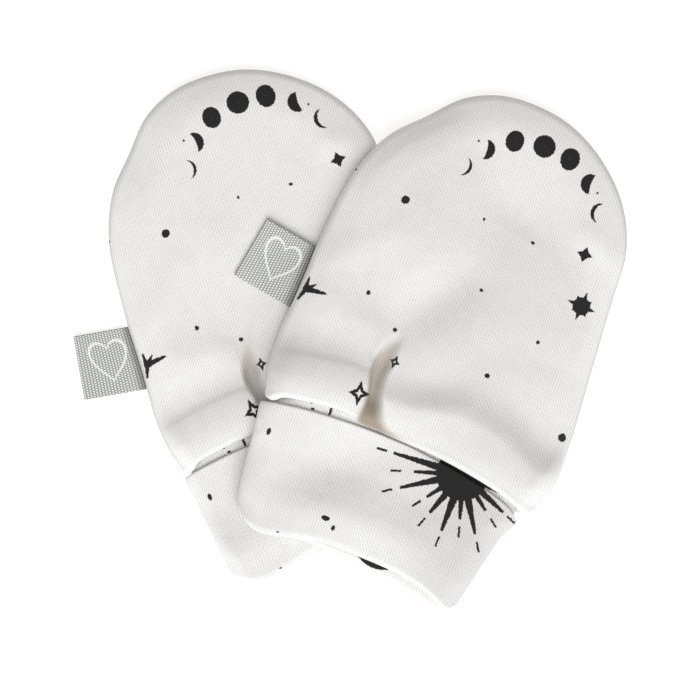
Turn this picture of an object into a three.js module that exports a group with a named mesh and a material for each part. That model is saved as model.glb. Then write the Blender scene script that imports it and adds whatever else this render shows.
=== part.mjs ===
// A pair of baby mittens laid flat, the right one lying half over the left one.
// Each mitten has a front and a back hand panel that meet at a seam round the hand, a cuff that is
// turned up on itself, and a label of woven tape folded into the left side of the seam.
// Millimetres, +Z up. The surface that the pair lies on is Z 0.
import * as THREE from "three";

// Cloth and seams
const clothWall = 1.2; // soft cotton interlock
const seamGap = 0.3; // between pieces that are sewn together or rest on each other
const innerLeafWall = 1.1; // the leaf of the cuff that goes up inside the hand
const leafSlit = 0.3; // between the two leaves of the cuff
const handSlit = 0.5; // the closed mouth between the front and the back of the cuff

// Heights above what the mitten lies on
const seamHeight = 2.6; // the seam round the hand
const frontRise = 3.5; // the front panel's middle above the seam
const cuffHeight = 2 * (clothWall + leafSlit + innerLeafWall) + handSlit;
const neckTop = cuffHeight - clothWall - leafSlit;
const rollUnderside = neckTop + seamGap; // the hem that turns under rests on the neck

// How far in from its edge each form is rounded
const frontEdge = 5;
const backEdge = 3.4;
const cuffEdge = 3.6;
const cuffEndBlend = 8; // from a cuff's end, how far in its leaves lie side by side before they stack
const cuffFoldFade = 4; // the cuff's soft folds die out over this much below its top edge
const cuffSpan = 72; // about the cuff's width, which its columns share out
const backHemCorner = 6; // how far from its corners the back's hem meets the cuff
const smallestRoll = 1.5; // radius of the turned hem in the pleat
const cornerBlend = 8; // from the corners, over how far the turned hem swings under
const cornerInset = 2.9; // how far in from the seam it ends at the corners
const rollTurnUnder = { least: 0.4, most: 3 }; // how far the turned hem goes back inside
const rollSteps = 6;
const rollGrowth = 0.8; // how much wider than the smallest a roll is where it turns in fully
const leastBore = 0.5; // radius that stays free inside a turned hem
const turnedHemMargin = 3; // how far past the turned hem the front's wall stays that thin
const hemLip = 0.5; // how far below its hem line the front still carries what lies on it
const neckReach = 3.2; // how far the neck goes up past the cuff's top edge
const steepestWall = 1.7; // the most that a steep stretch adds to the wall, measured upright

// The seam round the hand, in the mitten's own frame: across to the right, along to the fingertips.
const handSeam = [
  { across: -39.2, along: -26.4 },
  { across: -40.8, along: -19.0 },
  { across: -41.3, along: -10.5 },
  { across: -40.3, along: 2.0 },
  { across: -39.3, along: 20.0 },
  { across: -36.8, along: 37.0 },
  { across: -31.6, along: 48.4 },
  { across: -24.4, along: 56.1 },
  { across: -16.6, along: 64.0 },
  { across: -8.0, along: 67.9 },
  { across: 1.0, along: 68.7 },
  { across: 12.0, along: 66.8 },
  { across: 23.0, along: 60.8 },
  { across: 31.8, along: 51.8 },
  { across: 36.8, along: 41.0 },
  { across: 37.8, along: 27.0 },
  { across: 39.0, along: 8.0 },
  { across: 40.2, along: -12.0 },
  { across: 37.8, along: -30.6 },
];
const leftShoulder = 5; // rows of the table where the sides give way to the rounded top
const rightShoulder = 14;
const fanCentre = new THREE.Vector3(-0.5, 31, 0); // the middle of the rounded top
const fanSpokes = 18;

// The front hem's lower edge, and how far it puffs up over the wrist.
const frontHem = [
  { across: -39.2, along: -27.2, puff: 3.2 },
  { across: -34.0, along: -25.1, puff: 3.3 },
  { across: -27.0, along: -23.5, puff: 3.3 },
  { across: -20.0, along: -22.8, puff: 3.2 },
  { across: -16.0, along: -23.2, puff: 2.7 },
  { across: -13.5, along: -24.4, puff: 1.0 },
  { across: -8.0, along: -24.7, puff: 1.0 },
  { across: -1.0, along: -25.1, puff: 2.7 },
  { across: 6.0, along: -25.8, puff: 3.6 },
  { across: 15.0, along: -27.1, puff: 3.8 },
  { across: 25.0, along: -29.1, puff: 3.8 },
  { across: 37.8, along: -32.2, puff: 3.7 },
];
const puffReach = { left: 5.0, right: 8.0, changesFrom: -18, changesOver: 16 };
const hemCrest = 2.5; // how far above the hem's edge it is highest

// The cuff's two sides, and above its top edge the neck that narrows into the wrist.
const cuffSides = [
  { along: -21.0, left: -35.6, right: 33.2 },
  { along: -25.2, left: -36.2, right: 33.6 },
  { along: -28.4, left: -39.2, right: 33.8 },
  { along: -33.0, left: -38.9, right: 33.9 },
  { along: -36.0, left: -38.5, right: 33.5 },
  { along: -40.0, left: -38.2, right: 31.4 },
  { along: -47.0, left: -37.5, right: 29.5 },
  { along: -54.0, left: -36.5, right: 28.0 },
  { along: -60.0, left: -35.2, right: 26.6 },
  { along: -65.0, left: -33.0, right: 25.4 },
];
// Its edges, by the share of the way across. The back fold hangs a little below the front one.
const cuffEdges = [
  { share: 0.0, top: -28.6, frontFold: -56.6, backFold: -56.6 },
  { share: 0.05, top: -27.5, frontFold: -59.2, backFold: -58.6 },
  { share: 0.12, top: -26.5, frontFold: -60.1, backFold: -59.2 },
  { share: 0.2, top: -25.9, frontFold: -59.3, backFold: -58.8 },
  { share: 0.3, top: -25.6, frontFold: -57.9, backFold: -58.5 },
  { share: 0.4, top: -25.6, frontFold: -57.0, backFold: -58.6 },
  { share: 0.54, top: -26.1, frontFold: -57.3, backFold: -59.2 },
  { share: 0.7, top: -27.6, frontFold: -58.0, backFold: -60.8 },
  { share: 0.82, top: -29.3, frontFold: -59.6, backFold: -62.2 },
  { share: 0.92, top: -31.3, frontFold: -61.9, backFold: -63.5 },
  { share: 0.97, top: -33.0, frontFold: -63.2, backFold: -63.9 },
  { share: 1.0, top: -34.6, frontFold: -61.8, backFold: -61.8 },
];

// Soft folds of the front panel: each runs from one point to another, bowed to its left.
const frontFolds = [
  { name: "trough above the right puff", from: [-3, -15], to: [38, -19], bow: 5.5, width: 3.4, rise: -1.7 },
  { name: "trough by the left puff", from: [-42, -12], to: [-19, -11.5], bow: 1.2, width: 2.4, rise: -1.4 },
  { name: "bulge beside the pleat", from: [-32, -4], to: [-19, -5], bow: 0, width: 4.6, rise: 1.1 },
  { name: "dent over the pleat", from: [-25, 4], to: [-20, 2], bow: 1, width: 3, rise: -1.0 },
  { name: "valley up from the pleat", from: [-6, 17], to: [2, -6], bow: 3, width: 5, rise: -1.2 },
  { name: "slanting trough on the left", from: [-40, 18], to: [-22, 31], bow: -2, width: 4.6, rise: -1.2 },
  { name: "dip near the right edge", from: [22, 44], to: [38, 41], bow: 0, width: 3.4, rise: -0.8 },
  { name: "slack by the left shoulder", from: [-31, 43], to: [-20, 56], bow: 0, width: 4, rise: -0.5 },
  { name: "slack low on the right", from: [10, 2], to: [30, 6], bow: 3, width: 6, rise: -0.5 },
];
// The pleat: a steep edge on its left, and a floor that fans out on its right towards the hem.
const pleat = [
  { along: -25, edge: -14.6, depth: 3.0, fan: 4.6, floor: 4.7 },
  { along: -22, edge: -14.6, depth: 4.4, fan: 3.8, floor: 4.7 },
  { along: -18, edge: -14.9, depth: 5.0, fan: 3.2, floor: 2.2 },
  { along: -12, edge: -15.4, depth: 3.9, fan: 3.0, floor: 1.0 },
  { along: -5, edge: -15.6, depth: 3.0, fan: 3.2, floor: 1.0 },
  { along: 0, edge: -15.0, depth: 1.7, fan: 4.0, floor: 1.4 },
  { along: 5, edge: -14.0, depth: 0.0, fan: 5.0, floor: 2.5 },
];
const pleatEdgeWidth = 1.5;
const pleatMiddle = 1.2; // how far right of its edge the pleat is deepest
const pleatTop = 6; // where it has run out

// Soft folds of the cuff's front
const cuffFolds = [
  { name: "roll of the lower fold", from: [-33, -56], to: [24, -58], bow: 3, width: 4, rise: 1.4 },
  { name: "fullness under the top edge", from: [-36, -31], to: [30, -34], bow: 2, width: 5.5, rise: 1.1 },
];

// The woven label
const labelWidth = 17.2;
const labelReach = 15.6;
const labelTilt = THREE.MathUtils.degToRad(9);
const labelAt = { across: -40.4, along: 6.2 }; // the middle of the edge that is sewn in
const tapeWall = 0.75;
const droopReach = 7; // how far from the seam the label has come down
const tapeFold = 0.95; // outer radius of the fold at its free end

// Where each mitten lies, and how it is turned
const leftPlace = { x: -15.46, y: 3.58, turn: THREE.MathUtils.degToRad(20), under: null };
const rightPlace = { x: 23.84, y: -2.92, turn: THREE.MathUtils.degToRad(-20), under: leftPlace };
const drapeSlope = 0.42; // how steeply the upper mitten comes down off the lower one
const latticeStep = 2;
const latticeHalf = 84; // the lattice of lower heights covers this far each way
const drapeRounding = 2; // in lattice steps
const drapeGap = 0.45;
const highestUnder = 12; // nothing of the lower mitten is higher

const clamp = THREE.MathUtils.clamp;
const lerp = THREE.MathUtils.lerp;

// A quarter ellipse from 0 at an edge to 1 at its inner end.
function rounded(share) {
  const inside = 1 - clamp(share, 0, 1);
  return Math.sqrt(1 - inside * inside);
}

function eased(share) {
  const x = clamp(share, 0, 1);
  return x * x * (3 - 2 * x);
}

// A smooth curve through one column of a table, as a function of another column.
function columnCurve(table, by, column) {
  const rows = [...table].sort((a, b) => a[by] - b[by]);
  const slope = (i) => {
    const a = rows[Math.max(i - 1, 0)];
    const b = rows[Math.min(i + 1, rows.length - 1)];
    return (b[column] - a[column]) / (b[by] - a[by]);
  };
  return (at) => {
    const x = clamp(at, rows[0][by], rows[rows.length - 1][by]);
    let i = 0;
    while (i < rows.length - 2 && x > rows[i + 1][by]) i += 1;
    const span = rows[i + 1][by] - rows[i][by];
    const t = (x - rows[i][by]) / span;
    const t2 = t * t;
    const t3 = t2 * t;
    return (
      (2 * t3 - 3 * t2 + 1) * rows[i][column] +
      (t3 - 2 * t2 + t) * span * slope(i) +
      (3 * t2 - 2 * t3) * rows[i + 1][column] +
      (t3 - t2) * span * slope(i + 1)
    );
  };
}

const hemAlong = columnCurve(frontHem, "across", "along");
const hemPuff = columnCurve(frontHem, "across", "puff");
const cuffLeft = columnCurve(cuffSides, "along", "left");
const cuffRight = columnCurve(cuffSides, "along", "right");
const cuffTopEdge = columnCurve(cuffEdges, "share", "top");
const pleatColumn = Object.fromEntries(
  ["edge", "depth", "fan", "floor"].map((name) => [name, columnCurve(pleat, "along", name)]),
);

// The seam as a curve with three stretches: left side, top and right side.
const seamCurve = new THREE.CatmullRomCurve3(
  handSeam.map((p) => new THREE.Vector3(p.across, p.along, 0)),
  false,
  "centripetal",
);
const seamRows = handSeam.length - 1;
const seamStretches = {
  left: [0, leftShoulder / seamRows],
  top: [leftShoulder / seamRows, rightShoulder / seamRows],
  right: [1, rightShoulder / seamRows],
};
const seamSteps = 120;
const seamSamples = Array.from({ length: seamSteps + 1 }, (_, i) => seamCurve.getPoint(i / seamSteps));
const leftEnd = handSeam[0];
const rightEnd = handSeam[seamRows];

// The point a share of the way along a stretch of the seam, by length.
function onSeam(stretch, share) {
  const [from, to] = seamStretches[stretch];
  const steps = 60;
  const points = Array.from({ length: steps + 1 }, (_, i) => seamCurve.getPoint(lerp(from, to, i / steps)));
  const lengths = [0];
  for (let i = 1; i <= steps; i += 1) lengths.push(lengths[i - 1] + points[i].distanceTo(points[i - 1]));
  const wanted = share * lengths[steps];
  let i = 0;
  while (i < steps - 1 && lengths[i + 1] < wanted) i += 1;
  const part = (wanted - lengths[i]) / (lengths[i + 1] - lengths[i]);
  return points[i].clone().lerp(points[i + 1], part);
}

// How far a point is from the seam, below 0 outside it. The open hem doesn't count.
function insideSeam(across, along) {
  let nearest = Infinity;
  let side = 1;
  for (let i = 1; i < seamSamples.length; i += 1) {
    const a = seamSamples[i - 1];
    const dx = seamSamples[i].x - a.x;
    const dy = seamSamples[i].y - a.y;
    const t = clamp(((across - a.x) * dx + (along - a.y) * dy) / (dx * dx + dy * dy), 0, 1);
    const offX = across - a.x - t * dx;
    const offY = along - a.y - t * dy;
    const distance = Math.hypot(offX, offY);
    if (distance < nearest) {
      nearest = distance;
      side = dx * offY - dy * offX < 0 ? 1 : -1;
    }
  }
  return side * nearest;
}

// How strongly a fold is felt at a point: 1 on its bowed line, fading to its sides and past its ends.
function foldWeight(fold, across, along) {
  const [fromX, fromY] = fold.from;
  const dx = fold.to[0] - fromX;
  const dy = fold.to[1] - fromY;
  const length = Math.hypot(dx, dy);
  const t = ((across - fromX) * dx + (along - fromY) * dy) / (length * length);
  const beside = ((along - fromY) * dx - (across - fromX) * dy) / length;
  const inner = clamp(t, 0, 1);
  const bow = 4 * fold.bow * inner * (1 - inner);
  const past = (t - inner) * length;
  return Math.exp(-((beside - bow) ** 2 + past ** 2) / fold.width ** 2);
}

function foldSum(folds, across, along) {
  return folds.reduce((sum, fold) => sum + fold.rise * foldWeight(fold, across, along), 0);
}

// The front panel's rise above the seam where its edges don't round it off.
function openRise(across, along) {
  const aboveHem = along - hemAlong(across) - hemCrest;
  const toRight = eased((across - puffReach.changesFrom) / puffReach.changesOver);
  const reach = lerp(puffReach.left, puffReach.right, toRight);
  const puff = hemPuff(across) * Math.exp(-((Math.max(aboveHem, 0) / reach) ** 2));
  const lifted = frontRise + puff + foldSum(frontFolds, across, along);
  const beside = across - pleatColumn.edge(along);
  const width = beside < 0 ? pleatEdgeWidth : pleatColumn.fan(along);
  const valley = pleatColumn.depth(along) * Math.exp(-((beside - pleatMiddle) ** 2) / width ** 2);
  const lowest = Math.min(pleatColumn.floor(along), lifted);
  return along > pleatTop ? lifted : Math.max(lifted - valley, lowest);
}

function frontHeight(across, along) {
  const edge = rounded(insideSeam(across, along) / frontEdge);
  return seamHeight + seamGap / 2 + openRise(across, along) * edge;
}

// Positions from 0 to length, fine at each focus and coarser away from it, as shares.
function gradedShares(length, focuses, coarsest) {
  const at = [0];
  while (at[at.length - 1] < length) {
    const x = at[at.length - 1];
    const step = Math.min(coarsest, ...focuses.map((f) => f.finest + f.growth * Math.abs(x - f.at)));
    at.push(x + step);
  }
  return at.map((x) => x / at[at.length - 1]);
}

// A net of points over the hand. Below the shoulders its rows run from side to side, and above them
// it is a fan round one point. Each row and each spoke has the same steps in from the seam.
function handNet(inwardShares, rowShares, hemPoint) {
  const steps = inwardShares.length;
  const foot = hemPoint(0.5);
  const rows = rowShares.map((t) => {
    const sides = [onSeam("left", t), onSeam("right", t)];
    const middle = foot.clone().lerp(fanCentre, t);
    return Array.from({ length: 2 * steps - 1 }, (_, c) => {
      const isLeft = c < steps;
      const share = inwardShares[isLeft ? c : 2 * steps - 2 - c];
      const corner = hemPoint(isLeft ? 0 : 1);
      const onHem = hemPoint(isLeft ? share / 2 : 1 - share / 2);
      const straight = corner.clone().lerp(foot, share);
      const point = (isLeft ? sides[0] : sides[1]).clone().lerp(middle, share);
      return point.addScaledVector(onHem.sub(straight), (1 - t) ** 2);
    });
  });
  const spokes = Array.from({ length: fanSpokes - 1 }, (_, j) => {
    const end = onSeam("top", (j + 1) / fanSpokes);
    return inwardShares.slice(0, -1).map((share) => end.clone().lerp(fanCentre, share));
  });
  return { rows, spokes };
}

// The faces of such a net, for points numbered row by row and then spoke by spoke.
function netFaces(rows, spokes) {
  const columns = rows[0].length;
  const steps = (columns + 1) / 2;
  const lastRow = rows.length - 1;
  const rowAt = (r, c) => r * columns + c;
  const spokeAt = (j, i) => {
    if (i === steps - 1) return rowAt(lastRow, steps - 1);
    if (j === 0) return rowAt(lastRow, i);
    if (j === spokes.length + 1) return rowAt(lastRow, columns - 1 - i);
    return rows.length * columns + (j - 1) * (steps - 1) + i;
  };
  const faces = [];
  for (let r = 0; r < lastRow; r += 1) {
    for (let c = 0; c < columns - 1; c += 1) {
      faces.push(...quad(rowAt(r, c), rowAt(r, c + 1), rowAt(r + 1, c + 1), rowAt(r + 1, c)));
    }
  }
  for (let j = 0; j <= spokes.length; j += 1) {
    for (let i = 0; i < steps - 2; i += 1) {
      faces.push(...quad(spokeAt(j, i), spokeAt(j, i + 1), spokeAt(j + 1, i + 1), spokeAt(j + 1, i)));
    }
    faces.push([spokeAt(j, steps - 2), spokeAt(j, steps - 1), spokeAt(j + 1, steps - 2)]);
  }
  return faces;
}

// The lower mitten's height under a point of its own frame.
function topOf(across, along) {
  const share = clamp((across - leftEnd.across) / (rightEnd.across - leftEnd.across), 0, 1);
  const acrossCuff = clamp((across - cuffLeft(along)) / (cuffRight(along) - cuffLeft(along)), 0, 1);
  const inside = insideSeam(across, Math.max(along, hemAlong(across) + hemCrest));
  const inHand = along > hemAlong(across) - hemLip && inside > 0 && share > 0 && share < 1;
  const edges = { low: cuffFold("backFold")(acrossCuff), high: cuffTopEdge(acrossCuff) };
  const inCuff = along > edges.low && along < edges.high + 1 && acrossCuff > 0 && acrossCuff < 1;
  if (inHand) return frontHeight(across, Math.max(along, hemAlong(across) + hemCrest));
  return inCuff ? cuffHeight + Math.max(foldSum(cuffFolds, across, along), 0) : 0;
}

// What the upper mitten lies on: the lower one's height, run out in slopes, then rounded over.
function drapeOver() {
  const size = Math.round((2 * latticeHalf) / latticeStep) + 1;
  const at = (i) => i * latticeStep - latticeHalf;
  const each = (value) => Array.from({ length: size }, (_, i) => value(i));
  const make = (value) => each((i) => each((j) => value(i, j)));
  const around = (lattice, reach, join, start) =>
    make((i, j) => {
      let joined = start;
      for (let di = -reach; di <= reach; di += 1) {
        for (let dj = -reach; dj <= reach; dj += 1) {
          const row = lattice[clamp(i + di, 0, size - 1)];
          joined = join(joined, row[clamp(j + dj, 0, size - 1)], Math.hypot(di, dj) * latticeStep);
        }
      }
      return joined;
    });
  const slopeReach = Math.ceil(highestUnder / drapeSlope / latticeStep);
  const solid = make((i, j) => topOf(at(i), at(j)));
  const higher = (best, height) => Math.max(best, height);
  const runningOut = (best, height, away) => Math.max(best, height - drapeSlope * away);
  const sloped = around(solid, slopeReach, runningOut, 0);
  const widened = around(sloped, drapeRounding, higher, 0);
  const cells = (2 * drapeRounding + 1) ** 2;
  const smooth = around(widened, drapeRounding, (sum, height) => sum + height / cells, 0);
  return (across, along) => {
    const x = clamp((across + latticeHalf) / latticeStep, 0, size - 1.001);
    const y = clamp((along + latticeHalf) / latticeStep, 0, size - 1.001);
    const [i, j] = [Math.floor(x), Math.floor(y)];
    const low = lerp(smooth[i][j], smooth[i + 1][j], x - i);
    const high = lerp(smooth[i][j + 1], smooth[i + 1][j + 1], x - i);
    const height = lerp(low, high, y - j);
    return height + drapeGap * eased(height);
  };
}

// How far a point of a mitten is lifted by the mitten beneath it.
function liftFor(place) {
  if (!place.under) return () => 0;
  const drape = drapeOver();
  const under = place.under;
  return (across, along) => {
    const x = place.x + across * Math.cos(place.turn) - along * Math.sin(place.turn) - under.x;
    const y = place.y + across * Math.sin(place.turn) + along * Math.cos(place.turn) - under.y;
    return drape(
      x * Math.cos(under.turn) + y * Math.sin(under.turn),
      y * Math.cos(under.turn) - x * Math.sin(under.turn),
    );
  };
}

function cuffFold(side) {
  return columnCurve(cuffEdges, "share", side);
}

// A mesh from rows of points and the faces between them.
function meshOf(name, points, faces, material) {
  const geometry = new THREE.BufferGeometry();
  const coordinates = points.flatMap((p) => [p.x, p.y, p.z]);
  geometry.setAttribute("position", new THREE.Float32BufferAttribute(coordinates, 3));
  geometry.setIndex(faces.flat());
  geometry.computeVertexNormals();
  const mesh = new THREE.Mesh(geometry, material);
  mesh.name = name;
  return mesh;
}

function quad(a, b, c, d) {
  return [
    [a, b, c],
    [a, c, d],
  ];
}

// The unit normal of a grid at one of its points, from its neighbours.
function gridNormal(grid, row, column) {
  const last = { row: grid.length - 1, column: grid[0].length - 1 };
  const above = grid[Math.min(row + 1, last.row)][column].clone();
  const beside = grid[row][Math.min(column + 1, last.column)].clone();
  const alongRows = above.sub(grid[Math.max(row - 1, 0)][column]);
  const alongColumns = beside.sub(grid[row][Math.max(column - 1, 0)]);
  return alongColumns.cross(alongRows).normalize();
}

// A sheet of cloth: the points are its outer face, and its inner face lies a wall's thickness behind them.
function sheetMesh(name, outer, outerFaces, behind, material) {
  const inner = outer.map((point, i) => point.clone().add(behind(i)));
  const count = outer.length;
  const edges = new Set();
  const faces = [...outerFaces];
  for (const [a, b, c] of outerFaces) {
    faces.push([count + a, count + c, count + b]);
    edges.add(`${a} ${b}`).add(`${b} ${c}`).add(`${c} ${a}`);
  }
  for (const edge of edges) {
    const [a, b] = edge.split(" ").map(Number);
    if (!edges.has(`${b} ${a}`)) faces.push(...quad(b, a, count + a, count + b));
  }
  return meshOf(name, [...outer, ...inner], faces, material);
}

function gridFaces(rows, columns) {
  const faces = [];
  for (let r = 0; r < rows - 1; r += 1) {
    for (let c = 0; c < columns - 1; c += 1) {
      const a = r * columns + c;
      faces.push(...quad(a, a + 1, a + columns + 1, a + columns));
    }
  }
  return faces;
}

// Which way a point of a hand panel moves to reach the inner face. At the seam that is level and inward,
// beside the seam it is along the surface's normal, and over the hand it is straight down (or up).
function behindHand(point, facing, heightAt) {
  const h = 0.05; // a small step, to measure slopes with
  const inside = insideSeam(point.x, point.y);
  const inwardX = (insideSeam(point.x + h, point.y) - insideSeam(point.x - h, point.y)) / (2 * h);
  const inwardY = (insideSeam(point.x, point.y + h) - insideSeam(point.x, point.y - h)) / (2 * h);
  const level = new THREE.Vector3(inwardX, inwardY, 0).normalize();
  if (inside < h) return level.multiplyScalar(clothWall);
  const slopeX = (heightAt(point.x + h, point.y) - heightAt(point.x - h, point.y)) / (2 * h);
  const slopeY = (heightAt(point.x, point.y + h) - heightAt(point.x, point.y - h)) / (2 * h);
  const normal = new THREE.Vector3(slopeX, slopeY, -1).normalize();
  const steepness = Math.min(-1 / normal.z, steepestWall);
  const upright = new THREE.Vector3(0, 0, -steepness);
  return normal.lerp(upright, eased((inside - 1) / frontEdge)).multiplyScalar(facing * clothWall);
}

const fromSeam = handSeam[rightShoulder].across - fanCentre.x;
const edgeFocus = { at: 0, finest: 0.35, growth: 0.8 };
const frontInward = gradedShares(fromSeam, [edgeFocus, { at: 25, finest: 0.9, growth: 0.4 }], 5);
const backInward = gradedShares(fromSeam, [edgeFocus], 9);
const rowsRun = 60; // about how far the rows go up the middle
const frontRows = gradedShares(rowsRun, [{ at: 4, finest: 2.2, growth: 0.2 }], 5.5);
const backRows = gradedShares(rowsRun, [{ at: 0, finest: 3, growth: 0.5 }], 9);

// The front panel: from the end of its turned hem, round the roll and up over the hand.
function frontPanel(name, lift, material) {
  const rollAt = (across) => {
    let radius = 2;
    for (let pass = 0; pass < 4; pass += 1) {
      const crest = frontHeight(across, hemAlong(across) + radius);
      radius = Math.max(smallestRoll, (crest - rollUnderside) / 2);
    }
    return radius;
  };
  const hemPoint = (share) => {
    if (share === 0) return new THREE.Vector3(leftEnd.across, leftEnd.along, 0);
    if (share === 1) return new THREE.Vector3(rightEnd.across, rightEnd.along, 0);
    const across = lerp(leftEnd.across, rightEnd.across, share);
    return new THREE.Vector3(across, hemAlong(across) + rollAt(across), 0);
  };
  const { rows, spokes } = handNet(frontInward, frontRows, hemPoint);
  for (const line of [...rows, ...spokes]) for (const p of line) p.z = frontHeight(p.x, p.y);
  const crest = rows[0];
  const beneath = crest.map((p, c) => {
    const fromCorner = Math.min(p.x - leftEnd.across, rightEnd.across - p.x);
    const inset = cornerInset * (1 - eased(fromCorner / cornerBlend)) * (c < crest.length / 2 ? 1 : -1);
    const low = lerp(seamHeight + seamGap / 2, rollUnderside, rounded(fromCorner / frontEdge));
    return new THREE.Vector3(p.x + inset, p.y, low);
  });
  const radii = crest.map((p, c) => p.distanceTo(beneath[c]) / 2);
  const roll = Array.from({ length: rollSteps }, (_, k) => {
    const angle = (Math.PI * k) / rollSteps;
    return crest.map((p, c) => {
      const point = beneath[c].clone().lerp(p, (1 - Math.cos(angle)) / 2);
      return point.setY(point.y - radii[c] * Math.sin(angle));
    });
  });
  const inside = roll[0].map((p, c) => {
    const share = eased((radii[c] - smallestRoll) / rollGrowth);
    return p.clone().add(new THREE.Vector3(0, lerp(rollTurnUnder.least, rollTurnUnder.most, share), 0));
  });
  const allRows = [inside, ...roll, ...rows];
  const points = [...allRows.flat(), ...spokes.flat()];
  for (const p of points) p.z += lift(p.x, p.y);
  const columns = crest.length;
  const heightAt = (across, along) => frontHeight(across, along) + lift(across, along);
  const behind = (i) => {
    const r = Math.floor(i / columns);
    const c = i % columns;
    const rollWall = Math.min(clothWall, radii[c] - leastBore);
    if (r <= rollSteps) return gridNormal(allRows, r, c).multiplyScalar(-rollWall);
    const offset = behindHand(points[i], 1, heightAt);
    const overTurnedHem = r <= rollSteps + rows.length && points[i].y < inside[c].y + turnedHemMargin;
    return overTurnedHem ? offset.normalize().multiplyScalar(rollWall) : offset;
  };
  return sheetMesh(name, points, netFaces(allRows, spokes), behind, material);
}

// The back panel: flat underneath, with its edges curled up to the seam.
function backPanel(name, lift, material) {
  const hemPoint = (share) => {
    const across = lerp(leftEnd.across, rightEnd.across, share);
    const fromCorner = Math.min(across - leftEnd.across, rightEnd.across - across);
    const corner = share < 0.5 ? leftEnd.along : rightEnd.along;
    const onCuff = (across - cuffLeft(corner)) / (cuffRight(corner) - cuffLeft(corner));
    const line = cuffTopEdge(clamp(onCuff, 0, 1)) + 2 * seamGap;
    return new THREE.Vector3(across, lerp(corner, line, eased(fromCorner / backHemCorner)), 0);
  };
  const { rows, spokes } = handNet(backInward, backRows, hemPoint);
  const heightAt = (across, along) => {
    const curl = 1 - rounded(insideSeam(across, along) / backEdge);
    return (seamHeight - seamGap / 2) * curl + lift(across, along);
  };
  const points = [...rows.flat(), ...spokes.flat()];
  for (const p of points) p.z = heightAt(p.x, p.y);
  const facingDown = netFaces(rows, spokes).map(([a, b, c]) => [a, c, b]);
  return sheetMesh(name, points, facingDown, (i) => behindHand(points[i], -1, heightAt), material);
}

// One turn of the cuff's section: inner leaf down to the fold, outer leaf up to its edge and back.
// Depth is measured in from the cuff's outer face, and share from the fold to the top edge.
const turn = { outer: clothWall, slit: clothWall + leafSlit, inner: clothWall + leafSlit + innerLeafWall };
const leafShares = [0.2, 0.4, 0.6, 0.8];
const cuffSection = [
  { neck: true, share: 1, depth: turn.inner },
  { share: 0.97, depth: turn.inner },
  ...[...leafShares].reverse().map((share) => ({ share, depth: turn.inner })),
  { share: 0, off: 2.2, depth: turn.inner },
  { share: 0, off: 0.7, depth: turn.inner - 0.35 },
  { share: 0, off: 0, depth: turn.inner / 2 },
  { share: 0, off: 0.5, depth: 0.45 },
  { share: 0, off: 1.8, depth: 0 },
  ...leafShares.map((share) => ({ share, depth: 0 })),
  { share: 1, off: -0.9, depth: 0 },
  { share: 1, off: -0.1, depth: 0.35 },
  { share: 1, off: -0.1, depth: 0.85 },
  { share: 1, off: -0.9, depth: turn.outer },
  ...[...leafShares].reverse().map((share) => ({ share, depth: turn.outer })),
  { share: 0, off: 2.4, depth: turn.outer },
  { share: 0, off: 2.4, depth: turn.slit },
  ...leafShares.map((share) => ({ share, depth: turn.slit })),
  { share: 0.97, depth: turn.slit },
  { neck: true, share: 1, depth: turn.slit },
];

// The cuff: its section carried round the flattened tube, front side then back side.
function cuff(name, lift, material) {
  const ends = [0, cuffSpan].map((at) => ({ at, finest: 0.5, growth: 0.8 }));
  const shares = gradedShares(cuffSpan, ends, 6);
  const front = shares.map((share) => ({ share, side: 1 }));
  const back = shares.slice(1, -1).reverse().map((share) => ({ share, side: -1 }));
  const middle = cuffHeight / 2;
  const ring = [...front, ...back].map(({ share, side }) => {
    const fold = cuffFold(side > 0 ? "frontFold" : "backFold")(share);
    const top = cuffTopEdge(share);
    return cuffSection.map((station) => {
      const along = lerp(fold, top, station.share) + (station.off ?? 0) + (station.neck ? neckReach : 0);
      const width = cuffRight(along) - cuffLeft(along);
      const fromEnd = Math.min(share, 1 - share) * width;
      const inset = station.depth * (1 - eased(fromEnd / cuffEndBlend)) * (share < 0.5 ? 1 : -1);
      const across = cuffLeft(along) + share * width + inset;
      const full = rounded((fromEnd + Math.abs(inset) - station.depth) / (cuffEdge - station.depth));
      const fade = eased((top + 1 - along) / cuffFoldFade);
      const soft = side > 0 ? foldSum(cuffFolds, across, along) * fade : 0;
      const z = middle + (side * (middle - station.depth) + soft) * full;
      return new THREE.Vector3(across, along, z + lift(across, along));
    });
  });
  const stations = cuffSection.length;
  const faces = [];
  for (let i = 0; i < ring.length; i += 1) {
    const here = i * stations;
    const next = ((i + 1) % ring.length) * stations;
    for (let j = 0; j < stations; j += 1) {
      const k = (j + 1) % stations;
      const goesDown = cuffSection[k].share < cuffSection[j].share;
      const upward = quad(here + j, next + j, next + k, here + k);
      const downward = quad(next + j, next + k, here + k, here + j);
      faces.push(...(goesDown ? downward : upward));
    }
  }
  return meshOf(name, ring.flat(), faces, material);
}

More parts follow.
